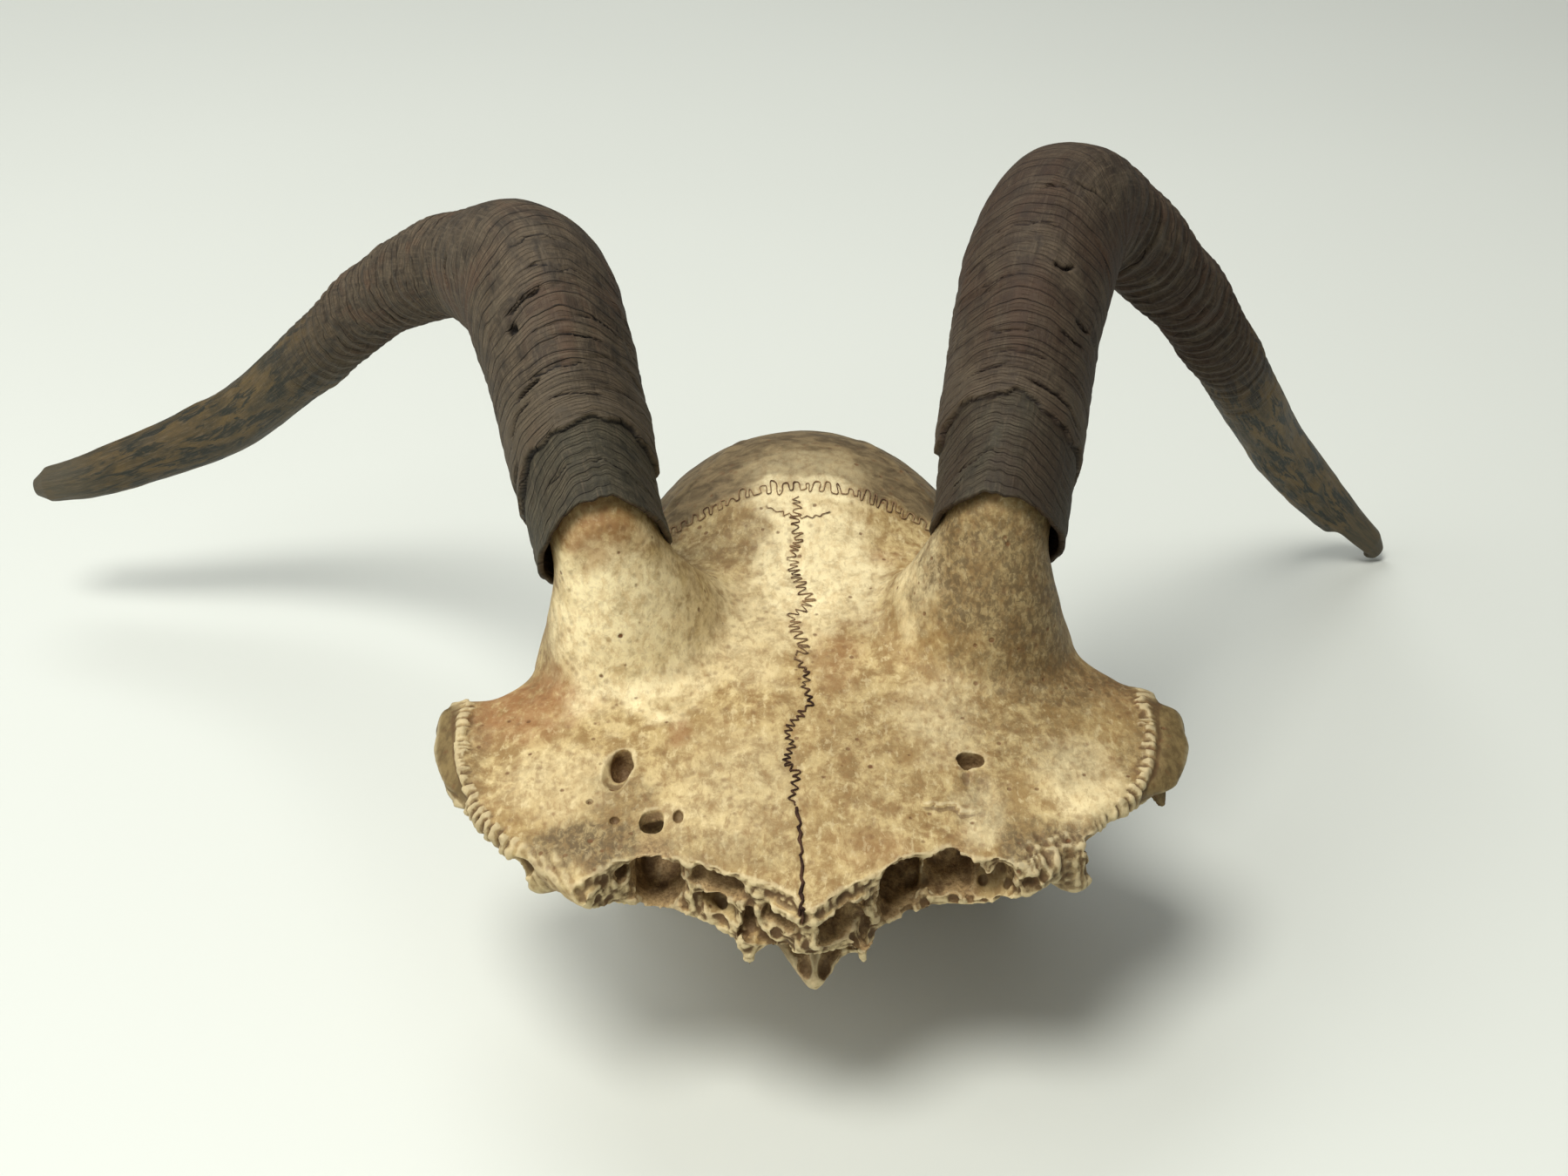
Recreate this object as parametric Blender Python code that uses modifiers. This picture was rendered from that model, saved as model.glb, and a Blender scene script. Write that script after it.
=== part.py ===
"""The horned skull cap of a young female goat, lying on its base.

The frontal bones, the braincase and the horn cores are whole. The face is broken away along the
front of the orbits, so the frontal sinuses stand open there. Each bone is a solid of its own,
parted from the next along its suture, and a hollow horn sheath sits on each core.
"""

import math

import bmesh
import bpy
from mathutils import Matrix, Vector

MM = 0.001

# The skull's own frame, in millimetres: across to the right of the picture, back along the
# frontal bones, and up out of them. Its zero is the middle of the broken front edge.
REST_PITCH = math.radians(10.0)
REST_DROP = 48.2
SUTURE_GAP = 0.3

# The bone shapes are merged on this grid and smoothed, which rounds the joins between them.
MERGE_GRID = 1.15
SMOOTH_ROUNDS = 9
SKULL_TRIANGLES = 7600

FRONTAL_LENGTH = 93.0
FRONTAL_DEPTH = 15.0
ORBIT_REACH = {"left": 54.5, "right": 56.0}
BRAINCASE_CENTRE = (0.0, 93.5, -29.6)
BRAINCASE_RADII = (33.0, 36.5, 33.5)

# Stations of the frontal plate: back, left and right half width, crown, drop of the rim,
# thickness in the middle.
FRONTAL_STATIONS = (
    (-2.0, 15.0, 15.0, -0.8, 1.0, 8.0),
    (5.0, 32.0, 31.0, -0.2, 1.5, 11.5),
    (12.0, 39.5, 36.5, 0.2, 2.0, 12.5),
    (20.0, 46.0, 40.5, 0.6, 2.6, 14.5),
    (30.0, 51.5, 50.5, 0.8, 3.6, 14.5),
    (39.0, 55.0, 56.0, 0.8, 4.6, 15.0),
    (46.0, 52.0, 56.0, 0.6, 5.5, 16.0),
    (52.0, 45.0, 51.0, 0.5, 6.0, 18.0),
    (60.0, 39.5, 43.0, 0.4, 6.0, 21.0),
    (72.0, 35.0, 36.0, 0.2, 6.0, 25.0),
    (84.0, 29.0, 29.0, 0.2, 7.0, 28.0),
    (95.0, 22.0, 22.0, 0.2, 5.0, 28.0),
)
RIM_THICKNESS = 3.6

# The way each horn takes, from the sheath's mouth to its tip, in the skull's frame.
HORN_WAY = {
    "left": (
        (-30.3, 60.5, 16.5), (-34.9, 73.0, 26.5), (-38.8, 85.0, 35.2), (-43.2, 97.0, 38.6),
        (-54.5, 111.5, 33.2), (-63.2, 122.0, 25.5), (-75.6, 134.5, 12.0), (-87.4, 144.0, -3.4),
        (-104.6, 151.0, -21.7), (-116.4, 153.8, -31.0), (-139.5, 155.0, -42.0),
        (-154.0, 156.6, -47.0),
    ),
    "right": (
        (29.0, 65.5, 15.5), (32.2, 79.0, 26.0), (35.7, 93.5, 37.0), (39.8, 106.5, 43.0),
        (45.6, 113.6, 41.4), (54.4, 121.0, 33.2), (63.8, 129.0, 20.0), (70.8, 135.5, 8.8),
        (83.2, 150.0, -15.0), (97.2, 163.5, -42.0), (112.6, 172.5, -64.5),
        (124.8, 173.4, -77.3),
    ),
}
# Stations of a sheath: share of its length, half width across, half width from front to back.
SHEATH_STATIONS = (
    (0.0, 11.2, 15.5), (0.10, 11.2, 15.5), (0.19, 12.3, 14.6), (0.25, 11.8, 12.6),
    (0.32, 8.4, 9.0), (0.41, 7.1, 7.8), (0.51, 6.7, 7.2), (0.61, 6.4, 6.8), (0.73, 5.8, 6.2),
    (0.80, 5.2, 6.3), (0.92, 4.3, 5.1), (0.985, 3.1, 3.7), (1.0, 1.6, 1.9),
)
SHEATH_RINGS = 40
SHEATH_SIDES = 24
# How far the mouth's edge runs past its middle at the front, outer side, back and inner side.
MOUTH_EDGE = {"left": (3.0, -2.0, -5.0, 1.0), "right": (1.0, -1.8, -5.0, 0.6)}
SHEATH_WALL = 2.0
POCKET_DEPTH = 38.0
CORE_DEPTH = 37.4
MOUTH_GAP = 0.9
MOUTH_CLEARANCE = 0.35
POCKET_GAP = 0.35

# A pedicle's foot, inside the frontal bone, and its stations on the way up to the mouth:
# share of the way, half width across, reach to the front, reach to the back.
PEDICLE_FOOT = (26.0, 64.0, -8.0)
PEDICLE_STATIONS = (
    (0.0, 18.0, 21.0, 19.0), (0.25, 15.5, 18.5, 14.0), (0.45, 13.2, 16.4, 11.5),
    (0.65, 11.0, 14.8, 9.5), (0.80, 9.5, 13.8, 9.0), (0.90, 8.6, 13.3, 9.5),
    (1.0, 8.2, 13.0, 10.0),
)

SIDES = {"left": -1.0, "right": 1.0}


def spot(across, back, up):
    """A point of the skull's frame, in metres."""
    return Vector((across, back, up)) * MM


def smooth_step(value):
    value = min(max(value, 0.0), 1.0)
    return value * value * (3.0 - 2.0 * value)


def between(stations, place):
    """The values of a table of stations at a place along it."""
    for low, high in zip(stations, stations[1:]):
        if place <= high[0]:
            share = (place - low[0]) / (high[0] - low[0])
            share = min(max(share, 0.0), 1.0)
            return [a + (b - a) * share for a, b in zip(low[1:], high[1:])]
    return list(stations[-1][1:])


def own_collection(name):
    collection = bpy.data.collections.new(name)
    bpy.context.scene.collection.children.link(collection)
    return collection


def finish(name, colour, roughness):
    """A plain material for one bone or sheath."""
    material = bpy.data.materials.new(name)
    material.use_nodes = True
    shader = material.node_tree.nodes["Principled BSDF"]
    shader.inputs["Base Color"].default_value = (*colour, 1.0)
    shader.inputs["Roughness"].default_value = roughness
    shader.inputs["Metallic"].default_value = 0.0
    return material


def object_of(bm, name, collection):
    """Puts a bmesh into a new object, its faces turned outwards."""
    bmesh.ops.recalc_face_normals(bm, faces=bm.faces)
    mesh = bpy.data.meshes.new(name)
    bm.to_mesh(mesh)
    bm.free()
    thing = bpy.data.objects.new(name, mesh)
    collection.objects.link(thing)
    return thing


def largest_shell(mesh):
    """Keeps the largest closed surface of a mesh and drops crumbs."""
    bm = bmesh.new()
    bm.from_mesh(mesh)
    seen = set()
    shells = []
    for face in bm.faces:
        if face in seen:
            continue
        seen.add(face)
        shell = [face]
        for current in shell:
            for edge in current.edges:
                for other in edge.link_faces:
                    if other not in seen:
                        seen.add(other)
                        shell.append(other)
        shells.append(shell)
    shells.sort(key=len, reverse=True)
    crumbs = [face for shell in shells[1:] for face in shell]
    bmesh.ops.delete(bm, geom=crumbs, context="FACES")
    loose = [vert for vert in bm.verts if not vert.link_faces]
    bmesh.ops.delete(bm, geom=loose, context="VERTS")
    bm.to_mesh(mesh)
    bm.free()


def settled(thing):
    """Replaces an object's mesh by the one that its modifiers make."""
    bpy.context.view_layer.update()
    graph = bpy.context.evaluated_depsgraph_get()
    mesh = bpy.data.meshes.new_from_object(thing.evaluated_get(graph))
    thing.modifiers.clear()
    thing.data = mesh
    largest_shell(mesh)
    return thing


def combine(thing, other, operation):
    """Cuts, joins or intersects an object with another, and settles it."""
    boolean = thing.modifiers.new(operation.lower(), "BOOLEAN")
    boolean.operation = operation
    boolean.solver = "MANIFOLD"
    boolean.object = other
    return settled(thing)


def guide(thing):
    """Marks an object as a cutter."""
    thing.hide_render = True
    thing.display_type = "WIRE"
    return thing


def add_ball(bm, centre, radii, turn=None, segments=28):
    """An ellipsoid, turned about the across axis or by a matrix."""
    matrix = Matrix.Translation(spot(*centre))
    if turn is not None:
        matrix = matrix @ turn
    matrix = matrix @ Matrix.Diagonal((*(r * MM for r in radii), 1.0))
    bmesh.ops.create_uvsphere(
        bm, u_segments=segments, v_segments=segments // 2, radius=1.0, matrix=matrix
    )


def add_loft(bm, rings):
    """A closed skin through rings of points, with a fan over each end."""
    rows = [[bm.verts.new(point) for point in ring] for ring in rings]
    count = len(rows[0])
    for low, high in zip(rows, rows[1:]):
        for i in range(count):
            j = (i + 1) % count
            bm.faces.new((low[i], low[j], high[j], high[i]))
    for row, ring in ((rows[0], rings[0]), (rows[-1], rings[-1])):
        middle = bm.verts.new(sum(ring, Vector()) / count)
        for i in range(count):
            bm.faces.new((row[i], row[(i + 1) % count], middle))


def add_bar(bm, stations, sides=16):
    """A rounded bar through (across, back, up, half width, half height) stations.

    Each ring stands square to the way from the station before it to the one after it.
    """
    centres = [spot(*station[:3]) for station in stations]
    rings = []
    for i, station in enumerate(stations):
        ahead = centres[min(i + 1, len(centres) - 1)]
        behind = centres[max(i - 1, 0)]
        way = (ahead - behind).normalized()
        wide = Vector((1.0, 0.0, 0.0))
        if abs(way.x) > 0.9:
            wide = Vector((0.0, 1.0, 0.0))
        high = way.cross(wide).normalized()
        wide = high.cross(way).normalized()
        rings.append([
            centres[i]
            + wide * (math.cos(angle) * station[3] * MM)
            + high * (math.sin(angle) * station[4] * MM)
            for angle in (math.tau * k / sides for k in range(sides))
        ])
    add_loft(bm, rings)


def add_frontal_plate(bm):
    """The two frontal bones: an arched plate, thick in the middle and thin at the orbits' rims."""
    steps = 24
    rings = []
    for back, left, right, crown, drop, thickness in FRONTAL_STATIONS:
        top = []
        bottom = []
        for i in range(steps + 1):
            share = -1.0 + 2.0 * i / steps
            half = left if share < 0.0 else right
            height = crown - drop * abs(share) ** 2.3
            depth = RIM_THICKNESS + (thickness - RIM_THICKNESS) * (1.0 - abs(share) ** 3)
            top.append(spot(share * half, back, height))
            bottom.append(spot(share * (half - 1.0), back, height - depth))
        rings.append(top + bottom[::-1])
    add_loft(bm, rings)


def add_braincase(bm):
    """The braincase and the pieces that stand out of its sides, back and base."""
    add_ball(bm, BRAINCASE_CENTRE, BRAINCASE_RADII, segments=40)
    add_bar(bm, ((0, 26, -14, 21, 9), (0, 40, -21, 17, 14), (0, 54, -25, 19, 19),
                 (0, 70, -28, 26, 24)), sides=24)
    add_bar(bm, ((0, 44, -36, 7, 6), (0, 62, -44, 10, 8), (0, 82, -53, 11, 8),
                 (0, 104, -58, 13, 8)))
    for side in SIDES.values():
        add_ball(bm, (side * 22, 88, -54.5), (8, 11, 8.5))
        add_ball(bm, (side * 13, 112, -57.5), (8.5, 9, 9.5))
        add_bar(bm, ((side * 27, 108, -36, 8, 8), (side * 29, 110, -50, 5.5, 6),
                     (side * 28, 110, -60, 4, 5), (side * 27, 110, -72, 3.2, 4.2)))
        add_bar(bm, ((side * 24, 70, -36, 12, 9), (side * 33, 69, -41, 8, 7),
                     (side * 40, 66, -43, 4, 6)))
        add_bar(bm, ((side * 24, 88, -38, 8, 8), (side * 31, 89, -40, 6, 6),
                     (side * 35, 90, -38, 4.5, 4.5)))
        add_bar(bm, ((side * 5.5, 78, -42, 3.4, 10), (side * 6, 72, -50, 2.8, 9),
                     (side * 6.2, 67, -58, 2.4, 7), (side * 6.2, 66, -66, 2.2, 6)))
    add_bar(bm, ((-29, 113, -34, 5, 5), (-20, 121, -26, 5, 5), (0, 126, -22, 6, 6),
                 (20, 121, -26, 5, 5), (29, 113, -34, 5, 5)))


def add_rims(bm):
    """The orbits' thickened rims, the broken bars behind them and the lacrimal stubs before them."""
    for name, side in SIDES.items():
        reach = ORBIT_REACH[name]
        front = reach - (9 if name == "left" else 16)
        add_bar(bm, ((side * 40, 13.5, -3, 2, 2), (side * front, 21, -3.4, 2.2, 2.2),
                     (side * (reach - 4), 30, -4, 2.4, 2.4), (side * (reach - 2), 38, -5, 2.6, 2.8),
                     (side * (reach - 3), 46, -6, 3, 3.2)))
        add_bar(bm, ((side * (reach - 5), 46, -5, 5, 4), (side * (reach - 2.5), 44, -13, 5, 2.2),
                     (side * (reach - 1.5), 40, -22, 5, 1.8)))
        add_bar(bm, ((side * 39, 17, -4, 4, 3.5), (side * 38, 14.5, -7, 3.6, 2.6),
                     (side * 37.5, 13, -10, 2.4, 2)))


def add_keel(bm):
    """The broken ethmoid: a keel on the midline and a prong on each side of it."""
    add_bar(bm, ((0, 34, -13, 17, 8), (0.5, 20, -14, 12, 7), (1, 10, -15, 7, 5.5),
                 (1, 2.5, -19.8, 1.6, 1.6)), sides=4)
    for side in SIDES.values():
        add_bar(bm, ((side * 9, 22, -11, 4, 5), (side * 8.5, 12, -12, 2.8, 4),
                     (side * 7.5, 6, -15, 1.6, 2)))


class HornWay:
    """A horn's curved middle line, its turning frame and its widths."""

    def __init__(self, name):
        self.side = SIDES[name]
        knots = [spot(*knot) for knot in HORN_WAY[name]]
        fine = self.curve(knots)
        self.lengths = [0.0]
        for before, after in zip(fine, fine[1:]):
            self.lengths.append(self.lengths[-1] + (after - before).length)
        self.length = self.lengths[-1]
        self.points = fine
        self.frames = self.turning(fine)

    @staticmethod
    def curve(knots, steps=12):
        """A smooth curve through the knots."""
        padded = [2 * knots[0] - knots[1], *knots, 2 * knots[-1] - knots[-2]]
        line = []
        for i in range(1, len(padded) - 2):
            a, b, c, d = padded[i - 1:i + 3]
            for k in range(steps):
                t = k / steps
                line.append(0.5 * (2 * b + (c - a) * t + (2 * a - 5 * b + 4 * c - d) * t ** 2
                                   + (3 * b - a - 3 * c + d) * t ** 3))
        line.append(knots[-1].copy())
        return line

    @staticmethod
    def turning(points):
        """Along, across and front directions that follow the curve without spinning."""
        frames = []
        across = Vector((1.0, 0.0, 0.0))
        for i in range(len(points)):
            along = (points[min(i + 1, len(points) - 1)] - points[max(i - 1, 0)]).normalized()
            across = (across - along * across.dot(along)).normalized()
            frames.append((along, across, across.cross(along)))
        return frames

    def at(self, distance):
        """Middle, along, across and front at a distance from the mouth, also before it."""
        if distance <= 0.0:
            along, across, front = self.frames[0]
            return self.points[0] + along * distance, along, across, front
        for i in range(1, len(self.lengths)):
            if distance <= self.lengths[i] or i == len(self.lengths) - 1:
                low, high = self.lengths[i - 1], self.lengths[i]
                share = min((distance - low) / (high - low), 1.0)
                middle = self.points[i - 1].lerp(self.points[i], share)
                directions = [a.lerp(b, share).normalized()
                              for a, b in zip(self.frames[i - 1], self.frames[i])]
                return middle, *directions

    def ring(self, distance, across_half, front_half, edge):
        """An oval about the middle line, its points shifted along it by the mouth's edge."""
        middle, along, across, front = self.at(distance)
        outward = across * self.side
        toward_front, toward_out, toward_back, toward_in = edge
        points = []
        for k in range(SHEATH_SIDES):
            angle = math.tau * k / SHEATH_SIDES
            lean_front, lean_out = math.cos(angle), math.sin(angle)
            shift = (toward_front * max(lean_front, 0.0) ** 2
                     + toward_back * max(-lean_front, 0.0) ** 2
                     + toward_out * max(lean_out, 0.0) ** 2
                     + toward_in * max(-lean_out, 0.0) ** 2)
            points.append(middle + front * (lean_front * front_half * MM)
                          + outward * (lean_out * across_half * MM) + along * (shift * MM))
        return points


def sheath_outside(bm, way, edge, grow=0.0):
    """The sheath's outer skin, grown all round. The mouth's edge fades out over the first rings."""
    rings = []
    for i in range(SHEATH_RINGS + 1):
        share = (i / SHEATH_RINGS) ** 0.95
        across_half, front_half = between(SHEATH_STATIONS, share)
        fade = 1.0 - smooth_step(i / 6.0)
        faded = [(amount - grow) * fade for amount in edge]
        rings.append(way.ring(share * way.length, across_half + grow, front_half + grow, faded))
    add_loft(bm, rings)


def core_loft(bm, way, start, end, gap_start, gap_end, lean=0.0):
    """A plug that fits the sheath's pocket, with a gap that narrows from the mouth inwards.

    Its first ring leans forward along the horn, so that it stays inside the pedicle.
    """
    rings = []
    steps = 9
    for i in range(steps + 1):
        distance = start + (end - start) * i / steps
        fade = 1.0 - smooth_step(i / 2.0)
        edge = (lean * fade, lean * fade * 0.3, 0.0, lean * fade * 0.3)
        share = max(distance, 0.0) * MM / way.length
        across_half, front_half = between(SHEATH_STATIONS, share)
        inward = smooth_step(distance / 14.0)
        inset = SHEATH_WALL + gap_start + (gap_end - gap_start) * inward
        closing = 1.0 - 0.25 * smooth_step((distance - end + 8.0) / 8.0)
        rings.append(way.ring(distance * MM, (across_half - inset) * closing,
                              (front_half - inset) * closing, edge))
    add_loft(bm, rings)


def horn_sheath(name, collection, cutters):
    """A hollow horn sheath."""
    way = HornWay(name)
    bm = bmesh.new()
    sheath_outside(bm, way, MOUTH_EDGE[name])
    sheath = object_of(bm, f"horn_sheath_{name}", collection)
    bm = bmesh.new()
    core_loft(bm, way, -14.0, POCKET_DEPTH, 0.0, 0.0)
    pocket = guide(object_of(bm, f"pocket_{name}", cutters))
    return combine(sheath, pocket, "DIFFERENCE")


def add_pedicle(bm, way):
    """The bony foot of a horn core, flaring down into the frontal bone."""
    mouth, along, across, front = way.at(0.0)
    foot = spot(way.side * PEDICLE_FOOT[0], *PEDICLE_FOOT[1:])
    rings = []
    for share, across_half, front_reach, back_reach in PEDICLE_STATIONS:
        rise = smooth_step(share)
        middle = foot.lerp(mouth, share)
        toward_front = Vector((0.0, -1.0, 0.0)).lerp(front, rise).normalized()
        ring = []
        for angle in (math.tau * k / 24 for k in range(24)):
            reach = front_reach if math.sin(angle) > 0.0 else back_reach
            ring.append(middle + across * (math.cos(angle) * across_half * MM)
                        + toward_front * (math.sin(angle) * reach * MM))
        rings.append(ring)
    add_loft(bm, rings)


def skull_forms(collection):
    """All the bone merged into one smooth closed surface, without its openings."""
    bm = bmesh.new()
    add_frontal_plate(bm)
    add_braincase(bm)
    add_rims(bm)
    add_keel(bm)
    for name in SIDES:
        add_pedicle(bm, HornWay(name))
    skull = object_of(bm, "skull", collection)
    remesh = skull.modifiers.new("merge", "REMESH")
    remesh.mode = "VOXEL"
    remesh.voxel_size = MERGE_GRID * MM
    smooth = skull.modifiers.new("round the joins", "SMOOTH")
    smooth.factor = 0.5
    smooth.iterations = SMOOTH_ROUNDS
    settled(skull)
    count = sum(len(polygon.vertices) - 2 for polygon in skull.data.polygons)
    decimate = skull.modifiers.new("thin out", "DECIMATE")
    decimate.ratio = SKULL_TRIANGLES / count
    return settled(skull)


def ball_cutter(name, centre, radii, cutters, segments=20):
    bm = bmesh.new()
    add_ball(bm, centre, radii, segments=segments)
    return guide(object_of(bm, name, cutters))


def prism_cutter(name, outline, low, high, cutters):
    """An upright prism over an outline of (across, back) corners."""
    bm = bmesh.new()
    floor = [bm.verts.new(spot(x, y, low)) for x, y in outline]
    roof = [bm.verts.new(spot(x, y, high)) for x, y in outline]
    bm.faces.new(floor)
    bm.faces.new(roof)
    for i in range(len(outline)):
        j = (i + 1) % len(outline)
        bm.faces.new((floor[i], floor[j], roof[j], roof[i]))
    return guide(object_of(bm, name, cutters))


def open_skull(skull, cutters):
    """Cuts the orbits, the sinuses at the break, the foramina and the resting faces."""
    for name, side in SIDES.items():
        orbit = ball_cutter(f"orbit_{name}", (side * 42, 32, -27.5), (17.5, 19.5, 17.5), cutters, 28)
        combine(skull, orbit, "DIFFERENCE")
    break_line = [(-60, -12), (-60, 1), (-43, 3), (-36, 3.5), (-31, 5.5), (-27, 10.5), (-19, 11),
                  (-12, 7), (-6, 4.5), (-1, 1), (1, 0.5), (6, 4), (10, 7.5), (14, 10), (19, 11.5),
                  (25, 10), (31, 9), (38, 6), (43, 5), (60, 4), (60, -12)]
    edge = prism_cutter("break_line", break_line, -12.5, 12, cutters)
    combine(skull, edge, "DIFFERENCE")
    for label, centre, radii in (
        ("sinus_left", (-21, 10, -6.2), (4.6, 8, 2.9)),
        ("sinus_left_low", (-12.5, 8, -7.4), (3.2, 6, 2.4)),
        ("sinus_right", (14, 10, -6.6), (3.8, 8, 3.3)),
        ("sinus_right_wide", (24.5, 10, -6.0), (5.4, 8, 2.7)),
    ):
        combine(skull, ball_cutter(label, centre, radii, cutters, 14), "DIFFERENCE")
    for name, side in SIDES.items():
        hole = ball_cutter(f"foramen_{name}", (side * 26, 30.5, 0.5), (1.6, 3.0, 4.0), cutters, 12)
        combine(skull, hole, "DIFFERENCE")
    combine(skull, ball_cutter("foramen_magnum", (0, 122, -49), (8.5, 14, 8), cutters), "DIFFERENCE")
    table = slab("table", (0, 0, -REST_DROP / math.cos(REST_PITCH)),
                 (0, math.sin(REST_PITCH), math.cos(REST_PITCH)), cutters)
    combine(skull, table, "DIFFERENCE")


def slab(name, point, normal, cutters, size=400.0):
    """A large block whose one face passes through a point, with the block behind the face."""
    turn = Vector(normal).to_track_quat("Z", "Y").to_matrix().to_4x4()
    centre = spot(*point) - Vector(normal).normalized() * (size / 2 * MM)
    bm = bmesh.new()
    bmesh.ops.create_cube(bm, size=size * MM, matrix=Matrix.Translation(centre) @ turn)
    return guide(object_of(bm, name, cutters))


def cell(name, planes, grow, cutters):
    """The room behind several planes, each a point and a normal, grown by a margin."""
    bm = bmesh.new()
    bmesh.ops.create_cube(bm, size=0.5)
    for point, normal in planes:
        normal = Vector(normal).normalized()
        place = spot(*point) + normal * (grow * MM)
        geometry = bm.verts[:] + bm.edges[:] + bm.faces[:]
        cut = bmesh.ops.bisect_plane(bm, geom=geometry, plane_co=place, plane_no=normal,
                                     clear_outer=True)
        edges = [item for item in cut["geom_cut"] if isinstance(item, bmesh.types.BMEdge)]
        bmesh.ops.contextual_create(bm, geom=edges)
    return guide(object_of(bm, name, cutters))


# The sutures as planes: a point on each and the direction that it faces.
CORONAL = ((0, FRONTAL_LENGTH, 0), (0, 0.94, -0.34))
OCCIPITAL = ((0, 121, -14), (0, 0.90, -0.44))
SQUAMOSAL = ((0, 0, -27), (0, 0, -1))
BASE_SIDE = 14.5
FLOOR_HALF = 33.0
FRONTAL_FLOOR = ((0, 0, -FRONTAL_DEPTH), (0, 0, -1))
ETHMOID_BACK = ((0, 39, 0), (0, 1, 0))
LACRIMAL = (((33.5, 0, 0), (1, 0, 0)), ((0, 18, 0), (0, -1, 0)), ((0, 0, -6.2), (0, 0, -1)))


def flipped(plane):
    point, normal = plane
    return point, tuple(-part for part in normal)


def mirrored(plane, side):
    (x, y, z), (nx, ny, nz) = plane
    return (side * x, y, z), (side * nx, ny, nz)


def sides_of(half):
    return ((half, 0, 0), (1, 0, 0)), ((-half, 0, 0), (-1, 0, 0))


def bone_cells():
    """Each bone's room, and the rooms that are taken out of it."""
    before_coronal = CORONAL
    behind_coronal = flipped(CORONAL)
    before_occipital = OCCIPITAL
    below_frontal = flipped(FRONTAL_FLOOR)
    floor = (before_coronal, below_frontal, *sides_of(FLOOR_HALF))
    cells = {
        "ethmoid": ((*floor, ETHMOID_BACK), ()),
        "presphenoid": ((*floor, flipped(ETHMOID_BACK)), ()),
        "parietal": ((behind_coronal, before_occipital, SQUAMOSAL), ()),
        "basisphenoid": ((behind_coronal, before_occipital, flipped(SQUAMOSAL),
                          *sides_of(BASE_SIDE)), ()),
        "occipital": ((behind_coronal, flipped(OCCIPITAL)), ()),
    }
    for name, side in SIDES.items():
        beside = ((side * BASE_SIDE, 0, 0), (-side, 0, 0))
        middle = ((0, 0, 0), (-side, 0, 0))
        lacrimal = tuple(flipped(mirrored(plane, side)) for plane in LACRIMAL)
        cells[f"temporal_{name}"] = (
            (behind_coronal, before_occipital, flipped(SQUAMOSAL), beside), ())
        cells[f"lacrimal_{name}"] = (lacrimal, ())
        cells[f"frontal_{name}"] = ((before_coronal, middle), (floor, lacrimal))
    return cells


def part_bones(skull, collection, cutters):
    """Cuts the skull into its bones, leaving each suture open by the gap."""
    bones = []
    for name, (room, taken) in bone_cells().items():
        bone = bpy.data.objects.new(name, skull.data.copy())
        collection.objects.link(bone)
        combine(bone, cell(f"room_{name}", room, -SUTURE_GAP / 2, cutters), "INTERSECT")
        for i, other in enumerate(taken):
            other_room = cell(f"taken_{name}_{i}", other, SUTURE_GAP / 2, cutters)
            combine(bone, other_room, "DIFFERENCE")
        bones.append(bone)
    return bones


def add_cores(skull, collection):
    """Trims each pedicle clear of its sheath's mouth and joins the horn core to it."""
    for name in SIDES:
        way = HornWay(name)
        bm = bmesh.new()
        sheath_outside(bm, way, MOUTH_EDGE[name], MOUTH_CLEARANCE)
        trim = guide(object_of(bm, f"mouth_{name}", collection))
        combine(skull, trim, "DIFFERENCE")
        bm = bmesh.new()
        core_loft(bm, way, -8.0, CORE_DEPTH, MOUTH_GAP, POCKET_GAP, lean=7.0)
        core = object_of(bm, f"core_{name}", collection)
        combine(skull, core, "UNION")
        bpy.data.objects.remove(core)


def stand_on_table(parts):
    """Tips the skull to its resting pitch and stands it on the middle of its footprint."""
    root = bpy.data.objects.new("skull_frame", None)
    bpy.context.scene.collection.objects.link(root)
    root.rotation_euler = (REST_PITCH, 0.0, 0.0)
    turn = Matrix.Rotation(REST_PITCH, 4, "X")
    corners = [turn @ vert.co for part in parts for vert in part.data.vertices]
    low = Vector([min(corner[i] for corner in corners) for i in range(3)])
    high = Vector([max(corner[i] for corner in corners) for i in range(3)])
    root.location = (-(low.x + high.x) / 2, -(low.y + high.y) / 2, -low.z)
    for part in parts:
        part.parent = root


def main():
    for thing in list(bpy.data.objects):
        bpy.data.objects.remove(thing)
    goat_skull = own_collection("goat_skull")
    cutters = own_collection("cutters")
    bone = finish("bone", (0.72, 0.56, 0.30), 0.72)
    horn = finish("horn", (0.075, 0.055, 0.042), 0.78)

    skull = skull_forms(cutters)
    open_skull(skull, cutters)
    add_cores(skull, cutters)
    bones = part_bones(skull, goat_skull, cutters)
    guide(skull)
    sheaths = [horn_sheath(name, goat_skull, cutters) for name in SIDES]
    for piece in bones:
        piece.data.materials.clear()
        piece.data.materials.append(bone)
        piece.data.shade_smooth()
        piece.data.set_sharp_from_angle(angle=math.radians(40))
    for piece in sheaths:
        piece.data.materials.clear()
        piece.data.materials.append(horn)
        piece.data.shade_smooth()
        piece.data.set_sharp_from_angle(angle=math.radians(40))
    stand_on_table(bones + sheaths)


main()
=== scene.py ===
"""The looks of a goat's horned skull cap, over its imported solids.

Places are millimetres in the skull's own frame: across to the right, back along the frontal
bones, and up out of them, from the middle of the broken front edge.
"""

import math

import bmesh
import bpy
import numpy as np
from mathutils import Matrix, Vector
from mathutils.bvhtree import BVHTree
from mathutils.kdtree import KDTree


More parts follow.
